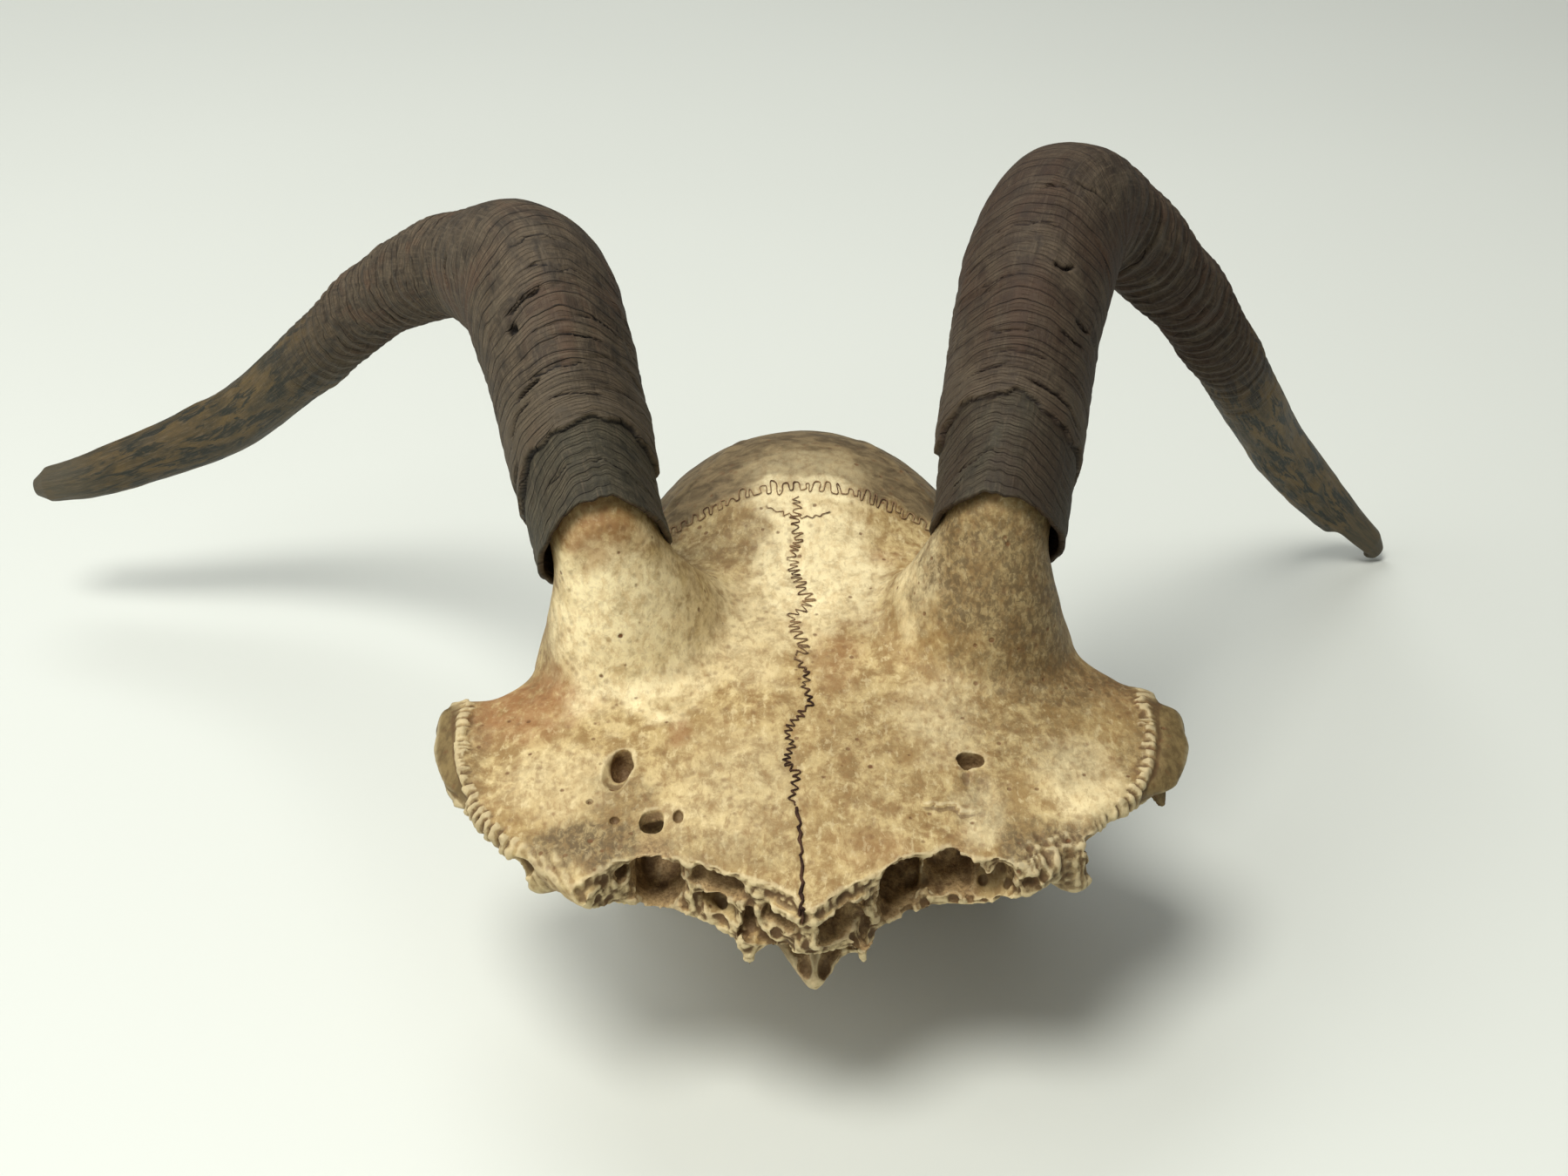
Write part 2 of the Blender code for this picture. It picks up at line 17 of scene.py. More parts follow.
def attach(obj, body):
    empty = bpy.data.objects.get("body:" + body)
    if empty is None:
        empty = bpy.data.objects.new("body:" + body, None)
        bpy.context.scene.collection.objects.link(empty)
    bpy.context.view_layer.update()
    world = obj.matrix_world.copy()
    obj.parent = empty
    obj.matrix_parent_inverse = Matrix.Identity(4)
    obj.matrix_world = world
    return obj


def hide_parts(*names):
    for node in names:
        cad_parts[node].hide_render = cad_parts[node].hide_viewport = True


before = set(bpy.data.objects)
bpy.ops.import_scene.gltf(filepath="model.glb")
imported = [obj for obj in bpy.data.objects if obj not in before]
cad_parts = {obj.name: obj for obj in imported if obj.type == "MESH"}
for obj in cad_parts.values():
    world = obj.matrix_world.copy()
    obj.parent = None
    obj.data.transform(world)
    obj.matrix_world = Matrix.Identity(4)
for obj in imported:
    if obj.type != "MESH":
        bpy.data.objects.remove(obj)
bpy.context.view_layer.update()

# The camera. The cap lies on its base, its back end tipped up, and the camera stands before the
# broken edge and looks down on it.
MM = 0.001
REST_PITCH = math.radians(10.0)
SKULL_PLACE = Vector((14.236, -93.716, 48.2))
SKULL = (Matrix.Translation(SKULL_PLACE * MM) @ Matrix.Rotation(REST_PITCH, 4, "X")
         @ Matrix.Diagonal((MM, MM, MM, 1.0)))
CAMERA_FROM_SKULL = Vector((-3.3, -244.1, 192.1))
LOOK_DOWN = math.radians(30.0)
LENS = 52.0


def shown(data, name):
    """A new object in the scene that shows the given data."""
    made = bpy.data.objects.new(name, data)
    bpy.context.scene.collection.objects.link(made)
    return made


camera_data = bpy.data.cameras.new("camera")
camera_data.lens = LENS
camera_data.sensor_width = 36.0
camera_data.clip_start = 0.01
camera = shown(camera_data, "camera")
camera.location = (SKULL_PLACE + CAMERA_FROM_SKULL) * MM
camera.rotation_euler = (math.pi / 2 - LOOK_DOWN, 0.0, 0.0)
bpy.context.scene.camera = camera


# The table top. A plain pale sheet, smooth and matt, faintly green and uneven in tone, stands in
# for the pale surface in the photograph.
class Wire:
    """A socket of a material. Arithmetic on wires adds the Math nodes that work it out."""

    def __init__(self, tree, socket=None):
        self.tree = tree
        self.socket = socket

    def node(self, kind, settings, values, output=0):
        """Adds a node, makes its settings, then sets or links its sockets, and gives an output."""
        made = self.tree.nodes.new(kind)
        for name, value in settings.items():
            setattr(made, name, value)
        for name, value in values.items():
            if isinstance(value, Wire):
                self.tree.links.new(value.socket, made.inputs[name])
            else:
                made.inputs[name].default_value = value
        return Wire(self.tree, made.outputs[output])

    def sister(self, name):
        """Another output of the node that this wire leaves."""
        return Wire(self.tree, self.socket.node.outputs[name])

    def maths(self, operation, *values):
        numbers = dict(enumerate((self, *values)))
        return self.node("ShaderNodeMath", {"operation": operation}, numbers)

    def __add__(self, other):
        if isinstance(other, tuple):
            return self.node("ShaderNodeVectorMath", {"operation": "ADD"}, {0: self, 1: other})
        return self.maths("ADD", other)

    def __mul__(self, other):
        return self.maths("MULTIPLY", other)

    def __sub__(self, other):
        return self.maths("SUBTRACT", other)

    def __rsub__(self, other):
        return (self * -1.0) + other

    __radd__ = __add__
    __rmul__ = __mul__

    def rise(self, low, high):
        """Goes smoothly from 0 at the low value to 1 at the high one."""
        return self.node("ShaderNodeMapRange", {"interpolation_type": "SMOOTHSTEP"},
                         {"Value": self, "From Min": low, "From Max": high})

    def mix(self, low, high):
        """The low colour where this is 0, the high one where it is 1: wires or screen colours."""
        low, high = (tone if isinstance(tone, Wire) else colour(*tone) for tone in (low, high))
        return self.node("ShaderNodeMix", {"data_type": "RGBA"}, {0: self, 6: low, 7: high}, 2)

    def stretched(self, across, back, up):
        """A place with each of its directions scaled."""
        return self.node("ShaderNodeVectorMath", {"operation": "MULTIPLY"},
                         {0: self, 1: (across, back, up)})

    def parts(self):
        """The three numbers of a place."""
        made = self.node("ShaderNodeSeparateXYZ", {}, {0: self})
        return [made.sister(name) for name in "XYZ"]

    def grain(self, size, detail=2.0, roughness=0.55, swirl=0.0):
        """Cloudy grain from 0 to 1, its clouds about one size across."""
        return self.node("ShaderNodeTexNoise", {},
                         {"Vector": self, "Scale": 1.0 / size, "Detail": detail,
                          "Roughness": roughness, "Distortion": swirl})

    def cells(self, size):
        """The distance to the nearest of scattered points, one size apart."""
        return self.node("ShaderNodeTexVoronoi", {}, {"Vector": self, "Scale": 1.0 / size})

    def kept(self, name):
        """The masks that the mesh keeps under a name."""
        return self.node("ShaderNodeAttribute", {"attribute_name": name}, {}, "Color")

    def feeds(self, name):
        """Goes into one of the sockets of the material's shader."""
        self.tree.links.new(self.socket, self.tree.nodes["Principled BSDF"].inputs[name])

    def bump(self, depth):
        """The relief that this height gives, so many metres deep."""
        return self.node("ShaderNodeBump", {}, {"Height": self, "Distance": depth, "Strength": 0.9})


def finish(name, roughness, shine):
    """A material, and a wire to start from."""
    material = bpy.data.materials.new(name)
    material.use_nodes = True
    shader = material.node_tree.nodes["Principled BSDF"]
    shader.inputs["Roughness"].default_value = roughness
    shader.inputs["Specular IOR Level"].default_value = shine
    return material, Wire(material.node_tree)


def colour(red, green, blue):
    """A screen colour of 0 to 255 as the linear colour that a shader takes."""
    parts = [part / 255.0 for part in (red, green, blue)]
    return (*(((part + 0.055) / 1.055) ** 2.4 if part > 0.04 else part / 12.92
              for part in parts), 1.0)


TABLE_HALF = 2.5
table_mesh = bpy.data.meshes.new("table")
table_mesh.from_pydata([(x * TABLE_HALF, y * TABLE_HALF, 0.0)
                        for x, y in ((-1, -1), (1, -1), (1, 1), (-1, 1))], [], [(0, 1, 2, 3)])
table = shown(table_mesh, "table")
top, wire = finish("table_top", 0.55, 0.3)
spread = wire.node("ShaderNodeTexCoord", {}, {}, "Object")
spread.grain(0.3).mix((220, 223, 215), (228, 231, 223)).feeds("Base Color")
table_mesh.materials.append(top)

# The light. Three soft lamps stand over the table: the key above the camera's left, a wide one at
# the left, and one behind. A pale room fills the shadows.
LAMPS = {
    "key_lamp": ((-0.25, -0.50, 1.20), 0.5, 11.8, (1.0, 0.99, 0.95)),
    "left_lamp": ((-0.95, -0.55, 0.90), 1.2, 7.6, (0.99, 1.0, 0.97)),
    "back_lamp": ((-0.30, 0.50, 1.10), 0.8, 4.6, (0.97, 0.99, 1.0)),
}
LAMP_AIM = Vector((0.0, -0.03, 0.05))
for name, (place, size, power, tint) in LAMPS.items():
    lamp_data = bpy.data.lights.new(name, "AREA")
    lamp_data.shape = "DISK"
    lamp_data.size = size
    lamp_data.energy = power
    lamp_data.color = tint
    lamp = shown(lamp_data, name)
    lamp.location = place
    lamp.rotation_euler = (LAMP_AIM - Vector(place)).to_track_quat("-Z", "Y").to_euler()
room = bpy.data.worlds.new("room")
room.use_nodes = True
glow = room.node_tree.nodes["Background"].inputs
glow["Color"].default_value = (0.98, 1.0, 0.98, 1.0)
glow["Strength"].default_value = 0.18
bpy.context.scene.world = room
bpy.context.scene.view_settings.view_transform = "Standard"

# The horn sheaths. Each is a hollow cap of keratin that grew round by round on its bony core and
# has dried: ringed, cracked across the front, split where an outer layer has come away above the
# mouth, and smooth again towards the tip.
def hashed(places, size, seed):
    """Smooth random relief from -1 to 1, its lumps about one size across."""
    table_of = np.random.default_rng(seed).uniform(-1.0, 1.0, (32, 32, 32))
    cell = np.asarray(places, float) / size
    low = np.floor(cell).astype(int)
    share = cell - low
    share = share * share * (3.0 - 2.0 * share)
    total = np.zeros(len(cell))
    for corner in np.ndindex(2, 2, 2):
        near = np.prod(np.where(corner, share, 1.0 - share), axis=1)
        total += near * table_of[tuple(((low + corner) % 32).T)]
    return total


def step_up(value, low, high):
    """Goes smoothly from 0 at the low value to 1 at the high one."""
    share = np.clip((value - low) / (high - low), 0.0, 1.0)
    return share * share * (3.0 - 2.0 * share)


HORN_WAY = {
    "left": (
        (-30.3, 60.5, 16.5), (-34.9, 73, 26.5), (-38.8, 85, 35.2), (-43.2, 97, 38.6),
        (-54.5, 111.5, 33.2), (-63.2, 122, 25.5), (-75.6, 134.5, 12), (-87.4, 144, -3.4),
        (-104.6, 151, -21.7), (-116.4, 153.8, -31), (-139.5, 155, -42),
        (-154, 156.6, -47),
    ),
    "right": (
        (29, 65.5, 15.5), (32.2, 79, 26), (35.7, 93.5, 37), (39.8, 106.5, 43),
        (45.6, 113.6, 41.4), (54.4, 121, 33.2), (63.8, 129, 20), (70.8, 135.5, 8.8),
        (83.2, 150, -15), (97.2, 163.5, -42), (112.6, 172.5, -64.5),
        (124.8, 173.4, -77.3),
    ),
}
SHEATH_WIDTHS = (
    (0, 11.2, 15.5), (0.10, 11.2, 15.5), (0.19, 12.3, 14.6), (0.25, 11.8, 12.6),
    (0.32, 8.4, 9), (0.41, 7.1, 7.8), (0.51, 6.7, 7.2), (0.61, 6.4, 6.8), (0.73, 5.8, 6.2),
    (0.80, 5.2, 6.3), (0.92, 4.3, 5.1), (0.985, 3.1, 3.7), (1, 1.6, 1.9),
)
MOUTH_EDGE = {"left": (3.0, -2.0, -5.0, -2.2), "right": (1.0, -1.8, -5.0, -2.0)}
MOUTH_FADE = 26.0
# How much closer the sheath hugs the bone on the inner side of its mouth.
HUG = 0.13
SHEATH_WALL = 2.0
LIP_WALL = 1.0
LIP_DEPTH = 6.0
POCKET_DEPTH = 38.0
POCKET_RINGS = 60
RINGS = 820
AROUND = 200
# The horn's usual radius, and the radius of the straight wheel that its relief is laid out on.
HORN_RADIUS = 13.5
WHEEL = 10.0
# How far apart the fine grooves, the strong grooves and the swells lie.
FINE_PITCH = 1.55
STRONG_PITCH = 5.1
SWELL_PITCH = 3.4
# The torn layer begins this far above the mouth, and its edge stands off the collar below it.
LAYER_START = {"left": 9.6, "right": 11.8}
LAYER_THICKNESS = 0.75
# Cracks: distance from the mouth, degrees round from the front to the outer side, half length,
# how steeply it climbs, half width and depth.
CRACKS = {
    "left": (
        (18.6, 26, 3.4, -0.1, 0.34, 1.3), (19.4, 0, 7.5, 0.02, 0.14, 0.6),
        (27, 27, 1.3, 0.2, 0.6, 1.6), (29.4, 12, 4.6, -0.12, 0.30, 1.2),
        (53, 60, 3.4, 0.15, 0.5, 1.5), (1.6, -25, 6.5, 0.05, 0.14, 0.5),
        (14, -10, 6, 0.02, 0.16, 0.6), (23.5, -22, 6, 0, 0.16, 0.6),
        (12.4, 72, 5, 0.1, 0.6, 1.1), (16.2, 40, 4, -0.1, 0.22, 0.8),
        (36.5, -5, 7, 0.02, 0.16, 0.6), (2.6, 20, 3.5, 0.1, 0.14, 0.5),
        (26, -40, 6, 0.02, 0.13, 0.5), (32.5, -20, 8, 0, 0.12, 0.5),
    ),
    "right": (
        (33.2, 15, 2.4, 0.2, 0.36, 1.4), (28, 42, 2.4, 0.25, 0.36, 1.4),
        (24.5, 33, 3.4, 0.15, 0.2, 1), (14.6, 30, 8, -0.05, 0.3, 1),
        (19.2, -5, 7, 0.02, 0.17, 0.7), (17, -30, 5, 0.05, 0.18, 0.6),
        (44.5, -2, 4, 0.2, 0.24, 0.9), (47.5, 25, 5, 0.3, 0.26, 1.1),
        (22.6, -15, 6, 0, 0.15, 0.6), (2.4, -30, 6, 0.05, 0.15, 0.5),
        (0.8, -38, 5, 0.05, 0.14, 0.5), (66, 150, 4, 0.3, 0.6, 1.4),
        (30.5, -30, 6, 0.02, 0.13, 0.5), (38, -18, 8, 0, 0.13, 0.5),
    ),
}
# The rings bow towards the tip over the front of the horn and hang back on its outer side.
RING_BOW = 4.2
RING_HANG = 1.6
TIP_NOTCH = {"left": 0.0, "right": 2.6}
# How red each horn is where it is ringed, and how dull where it is smooth.
HORN_TONES = {"left": (0.0, 0.4), "right": (0.5, 0.0)}
HORN_BUMP = 0.0003


def horn_line(knots, steps=60):
    """Many points along a smooth curve through the knots, and how far along each lies."""
    knots = np.array(knots)
    padded = np.vstack([2 * knots[0] - knots[1], knots, 2 * knots[-1] - knots[-2]])
    line = []
    for a, b, c, d in zip(padded, padded[1:], padded[2:], padded[3:]):
        t = np.arange(steps)[:, None] / steps
        line.append(0.5 * (2 * b + (c - a) * t + (2 * a - 5 * b + 4 * c - d) * t ** 2
                           + (3 * b - a - 3 * c + d) * t ** 3))
    line = np.vstack([*line, padded[-2:-1]])
    length = np.concatenate([[0.0], np.cumsum(np.linalg.norm(np.diff(line, axis=0), axis=1))])
    return line, length


def turning(line):
    """Along, across and front directions that follow a line without spinning."""
    along = np.gradient(line, axis=0)
    along /= np.linalg.norm(along, axis=1)[:, None]
    across = np.zeros_like(along)
    side = np.array((1.0, 0.0, 0.0))
    for i, way in enumerate(along):
        side = side - way * side.dot(way)
        side /= np.linalg.norm(side)
        across[i] = side
    return along, across, np.cross(across, along)


def skin_of(rows, around, name):
    """A mesh over rings of points, each end closed by a fan."""
    points = np.vstack([rows.reshape(-1, 3), rows[0].mean(axis=0), rows[-1].mean(axis=0)])
    start = np.arange(len(rows) - 1)[:, None] * around
    this = np.arange(around)
    following = (this + 1) % around
    quads = np.stack([start + this, start + following, start + around + following,
                      start + around + this], axis=-1).reshape(-1, 4)
    faces = quads.tolist()
    tip = len(points) - 2
    last = tip - around
    for i, j in zip(this.tolist(), following.tolist()):
        faces += [(j, i, tip), (last + i, last + j, tip + 1)]
    mesh = bpy.data.meshes.new(name)
    mesh.from_pydata(points.tolist(), [], faces)
    return mesh


def rolled_out(mesh, count, around):
    """Lays a ringed skin out flat, so that its colours can be kept on a rectangle."""
    unrolled = mesh.uv_layers.new(name="OFBake")
    row, step = np.meshgrid(np.arange(count - 1), np.arange(around), indexing="ij")
    corners = [np.stack([step + j, row + i + 1], axis=-1)
               for i, j in ((0, 0), (0, 1), (1, 1), (1, 0))]
    quads = np.stack(corners, axis=2).reshape(-1, 2)
    fans = []
    for i in range(around):
        fans += [(i + 1, 1), (i, 1), (i, 0), (i, count), (i + 1, count), (i, count + 1)]
    flat = np.vstack([quads, fans]) / (around, count + 1)
    unrolled.uv.foreach_set("vector", flat.astype(np.float32).ravel())


def painted(mesh, name, *channels):
    """Keeps four masks on the mesh as one attribute."""
    layer = mesh.attributes.new(name, "FLOAT_COLOR", "POINT")
    layer.data.foreach_set("color", np.stack(channels, axis=-1).astype(np.float32).ravel())


def grooves(along, pitch, sharpness):
    """Thin grooves, one to each pitch: 1 in a groove and 0 between."""
    return (1.0 - np.abs(np.sin(np.pi * along / pitch))) ** sharpness


def bowed_way(wheel, total):
    """How far the rings have run towards the tip at each place."""
    bowed = 1.0 - step_up(wheel[:, 0] / total, 0.22, 0.36)
    toward_front, toward_out = np.clip(wheel[:, 1:].T / WHEEL, 0.0, 1.0)
    return bowed * (RING_BOW * toward_front ** 1.3 - RING_HANG * toward_out)


def sheath_relief(name, degrees, wheel, total):
    """How far the ringed and cracked surface stands out, and where its cracks and layer lie."""
    share = wheel[:, 0] / total
    seed = 100 if name == "left" else 200
    distance = wheel[:, 0] - bowed_way(wheel, total)
    stretched = wheel * (0.3, 1.0, 1.0)
    wave = hashed(stretched, 9.0, seed) * 1.5 + hashed(stretched, 3.4, seed + 1) * 0.3
    wave = wave + hashed(wheel * (1.0, 0.2, 0.2), 2.3, seed + 12) * 0.8
    ringed = 1.0 - step_up(share, 0.60, 0.72)
    patchy = np.clip(0.55 + hashed(wheel * (0.8, 1.0, 1.0), 4.5, seed + 2) * 0.9, 0.0, 1.0)
    fine = grooves(distance + wave, FINE_PITCH, 4.0) * patchy
    strong = grooves(distance + wave * 1.3, STRONG_PITCH, 9.0) * np.clip(
        0.4 + hashed(wheel, 7.0, seed + 3) * 1.2, 0.0, 1.0)
    swell = np.sin(np.pi * 2.0 * (distance + wave) / SWELL_PITCH)
    corrugated = step_up(share, 0.25, 0.32) * (1.0 - step_up(share, 0.52, 0.66))
    relief = hashed(wheel, 10.0, seed + 4) * 0.3 + hashed(wheel, 3.5, seed + 5) * 0.14
    relief -= fine * 0.16 * ringed + strong * 0.32 * ringed
    relief += swell * (0.05 * ringed + 0.24 * corrugated)
    relief += hashed(wheel * (0.12, 1.0, 1.0), 1.0, seed + 6) * 0.07
    layer_edge = (LAYER_START[name] + hashed(wheel * (0.0, 1.0, 1.0), 3.6, seed + 7) * 1.1
                  + hashed(wheel * (0.0, 1.0, 1.0), 1.1, seed + 8) * 0.45)
    above = distance - layer_edge
    layer = step_up(above, -0.15, 0.2)
    lift = np.exp(-np.maximum(above, 0.0) / 16.0)
    relief += layer * lift * LAYER_THICKNESS - 0.25
    under = (1.0 - layer) * np.exp(np.minimum(above, 0.0) / 0.45)
    crack = under * 0.9 + strong * ringed * 0.45 + fine * ringed * 0.2
    relief -= under * 0.35
    for place, turn, half_length, climb, half_width, depth in CRACKS[name]:
        apart = (degrees - turn + 180.0) % 360.0 - 180.0
        beside = np.radians(apart) * HORN_RADIUS
        wiggle = hashed(np.stack([beside, beside * 0 + place, beside * 0], axis=-1), 2.2, seed + 9)
        over = distance - place - climb * beside - wiggle * 0.5
        ends = 1.0 - step_up(np.abs(beside), half_length * 0.45, half_length)
        gap = (1.0 - step_up(np.abs(over), half_width * 0.1, half_width * 1.35)) * ends
        relief -= gap * depth
        crack = np.maximum(crack, gap)
    return relief, np.clip(crack, 0.0, 1.0), 1.0 - layer


def sheath_mesh(name):
    """One sheath: its ringed outside from the mouth to the tip, and the pocket inside it."""
    side = -1.0 if name == "left" else 1.0
    line, length = horn_line(HORN_WAY[name])
    total = length[-1]
    ways = turning(line)
    angle = np.arange(AROUND) * math.tau / AROUND
    toward_front, toward_out = np.cos(angle), np.sin(angle)
    edge_shift = sum(reach * np.maximum(way, 0) ** 2 for reach, way in zip(
        MOUTH_EDGE[name], (toward_front, toward_out, -toward_front, -toward_out)))

    def along_line(distance, values):
        return np.stack([np.interp(distance, length, values[:, k]) for k in range(3)], axis=-1)

    def ring_points(distance, inset, shift):
        share = np.clip(distance / total, 0.0, 1.0)
        stations, *halves = np.transpose(SHEATH_WIDTHS)
        half_across, half_front = (np.interp(share, stations, half) for half in halves)
        hugging = np.maximum(-toward_out, 0.0) * (1.0 - step_up(distance, 2.0, 18.0))
        half_across = half_across * (1.0 - HUG * hugging)
        along, across, front = (along_line(distance, way) for way in ways)
        return (along_line(distance, line)
                + front * ((half_front - inset) * toward_front)[..., None]
                + across * ((half_across - inset) * toward_out * side)[..., None]
                + along * shift[..., None])

    def on_wheel(distance):
        return np.stack([distance.ravel(), *(np.tile(way * WHEEL, len(distance))
                                             for way in (toward_front, toward_out))], axis=-1)

    def mouth_shift(distance):
        return (edge_shift + ragged) * (1.0 - step_up(distance, 0.0, MOUTH_FADE))

    distance = np.repeat(np.linspace(0.0, total, RINGS)[:, None], AROUND, axis=1)
    wheel = on_wheel(distance)
    ragged = hashed(wheel[:AROUND], 2.6, 3) * 0.5 + hashed(wheel[:AROUND], 1.0, 4) * 0.3
    degrees = np.tile(np.degrees(angle), RINGS)
    relief, crack, collar = sheath_relief(name, degrees, wheel, total)
    relief = relief.reshape(RINGS, AROUND)
    tip_room = 1.0 - step_up(distance / total, 0.985, 1.0) * 0.8
    relief = relief * (0.35 + 0.65 * step_up(distance, 0.0, 1.5)) * tip_room
    _, across, front = (along_line(distance, way) for way in ways)
    outward = front * toward_front[:, None] + across * (toward_out * side)[:, None]
    low_side = step_up(-outward[..., 2] - outward[..., 0] * 0.3, 0.2, 0.7)
    share = distance / total
    notch = step_up(share, 0.93, 0.955) * (1.0 - step_up(share, 0.985, 0.995)) * low_side
    relief = relief - notch * TIP_NOTCH[name]
    outside = ring_points(distance, -relief, mouth_shift(distance))
    depth = np.repeat(np.linspace(0.0, POCKET_DEPTH, POCKET_RINGS)[::-1, None], AROUND, axis=1)
    inset = LIP_WALL + (SHEATH_WALL - LIP_WALL) * step_up(depth, 0.0, LIP_DEPTH)
    inside = ring_points(depth, inset, mouth_shift(depth))
    mesh = skin_of(np.concatenate([inside, outside]), AROUND, f"horn_skin_{name}")
    rolled_out(mesh, POCKET_RINGS + RINGS, AROUND)
    pocket = on_wheel(depth)
    way = np.vstack([pocket, wheel, pocket[:1], wheel[-1:]])
    bow = bowed_way(way, total)
    inner = np.concatenate([np.ones(len(pocket)), np.zeros(len(wheel)), (1.0, 0.0)])
    height = np.clip(0.5 + relief.ravel() * 0.6, 0.0, 1.0)

    def outer(values):
        return np.concatenate([np.zeros(len(pocket)), values, (0.0, 0.0)])

    painted(mesh, "way", way[:, 0] - bow, way[:, 1], way[:, 2], inner)
    painted(mesh, "wear", outer(crack), outer(collar), np.clip(way[:, 0] / total, 0.0, 1.0),
            outer(height))
    return mesh


# Keratin: matt dark grey-brown and dusty where it is ringed, olive-grey on the collar, and tan
# with dark green-grey patches where it is smooth.
def horn_finish(name, redness, dullness):
    horn, wire = finish(f"horn_keratin_{name}", 0.66, 0.3)
    way = wire.kept("way")
    wear_masks = wire.kept("wear")
    inside = way.sister("Alpha")
    relief = wear_masks.sister("Alpha")
    crack, collar, share = wear_masks.parts()
    distance = way.parts()[0]
    cloud = way.stretched(0.6, 1.0, 1.0).grain(7.0, 4.0, 0.6, 0.5)
    mottle = way.grain(2.2, 5.0, 0.68, 0.3)
    fibre = way.stretched(0.16, 1.0, 1.0).grain(0.5, 3.0, 0.62)
    band = way.stretched(1.0, 0.16, 0.16).grain(1.5, 4.0, 0.7)
    bend = way.stretched(0.3, 1.0, 1.0).grain(9.0, 2.0, 0.5) * 3.4
    bend = bend + way.stretched(1.0, 0.2, 0.2).grain(2.6, 2.0, 0.5) * 1.6
    fine_bend = way.grain(1.4, 3.0, 0.6) * 0.22
    ring = ((distance + bend + fine_bend) * 0.62).maths("PINGPONG", 0.5) * 2.0
    ring_line = (1.0 - ring.rise(0.0, 0.15)) * cloud.rise(0.3, 0.55)
    close_ring = ((distance + bend * 0.9 + fine_bend) * 1.7).maths("PINGPONG", 0.5) * 2.0
    close_line = (1.0 - close_ring.rise(0.0, 0.3)) * mottle.rise(0.40, 0.62)
    ringed = 1.0 - share.rise(0.56, 0.72)
    keratin = mottle.rise(0.3, 0.7).mix((46, 39, 30), (91, 78, 61))
    keratin = (cloud.rise(0.48, 0.7) * 0.6).mix(keratin, (86, 63, 46))
    keratin = (band.rise(0.5, 0.68) * ringed * 0.4).mix(keratin, (104, 92, 74))
    keratin = ((1.0 - band.rise(0.34, 0.48)) * ringed * 0.45).mix(keratin, (46, 38, 29))
    olive = mottle.rise(0.3, 0.7).mix((50, 48, 37), (82, 78, 62))
    keratin = (collar * 0.7).mix(keratin, olive)
    smooth = cloud.rise(0.35, 0.65).mix((106, 86, 50), (60, 55, 39))
    patches = way.stretched(0.35, 1.0, 1.0).grain(3.4, 5.0, 0.65, 0.8)
    smooth = patches.rise(0.49, 0.57).mix(smooth, (33, 38, 31))
    smooth = (fibre.rise(0.48, 0.72) * 0.5).mix(smooth, (108, 91, 61))
    smooth = (cloud.rise(0.1, 0.5) * dullness).mix(smooth, (46, 42, 33))
    keratin = share.rise(0.50, 0.68).mix(keratin, smooth)
    keratin = (share.rise(0.90, 0.97) * 0.7).mix(keratin, (84, 77, 61))
    keratin = (fibre.rise(0.5, 0.72) * 0.4).mix(keratin, (106, 93, 75))
    keratin = (relief.rise(0.52, 0.75) * 0.35).mix(keratin, (104, 92, 74))
    dark = (ring_line * 0.9 + close_line * 0.45) * ringed
    keratin = (dark * 0.75).mix(keratin, (34, 27, 19))
    keratin = (crack.rise(0.15, 0.75) * 0.94).mix(keratin, (18, 13, 9))
    keratin = (cloud.rise(0.2, 0.6) * ringed * redness).mix(keratin, (50, 32, 20))
    keratin = inside.mix(keratin, (58, 46, 34))
    keratin.feeds("Base Color")
    (0.69 - share.rise(0.5, 0.75) * 0.2 + mottle * 0.1).feeds("Roughness")
    height = mottle * 0.6 + fibre * 0.5 + band * ringed * 0.8 - dark * 1.1
    height.bump(HORN_BUMP).feeds("Normal")
    return horn


for name, (redness, dullness) in HORN_TONES.items():
    mesh = sheath_mesh(name)
    mesh.transform(SKULL)
    mesh.shade_smooth()
    skin = shown(mesh, f"horn_skin_{name}")
    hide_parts(f"horn_sheath_{name}")
    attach(skin, "root")
    mesh.materials.append(horn_finish(name, redness, dullness))

# The bone. The bones of the cap have grown together, so one skin covers them all. It is cast from
# the solids with their sutures closed, opened along the break into the sinuses, and worked over
# with the relief and the stains of weathered bone, among them some painted shade and painted light.
BONE_NODES = ("frontal_left", "frontal_right", "lacrimal_left", "lacrimal_right", "ethmoid",
              "presphenoid", "basisphenoid", "parietal", "temporal_left", "temporal_right",
              "occipital")
SUTURE_FILL = 0.22
CAST_GRID = 0.7
OPENING_GRID = 0.36
SKIN_GRID = 0.38
BONE_BUMP = 0.00018


def settled(surface, name):
    """The mesh of a worked surface, which is given up."""
    mesh = bpy.data.meshes.new(name)
    surface.to_mesh(mesh)
    surface.free()
    return mesh


def surface_tree(mesh):
    surface = bmesh.new()
    surface.from_mesh(mesh)
    tree = BVHTree.FromBMesh(surface)
    surface.free()
    return tree


def reshaped(thing, kind, **settings):
    """Adds one modifier to an object and settles its mesh."""
    modifier = thing.modifiers.new(kind.lower(), kind)
    for name, value in settings.items():
        setattr(modifier, name, value)
    graph = bpy.context.evaluated_depsgraph_get()
    mesh = bpy.data.meshes.new_from_object(thing.evaluated_get(graph))
    thing.modifiers.clear()
    thing.data = mesh


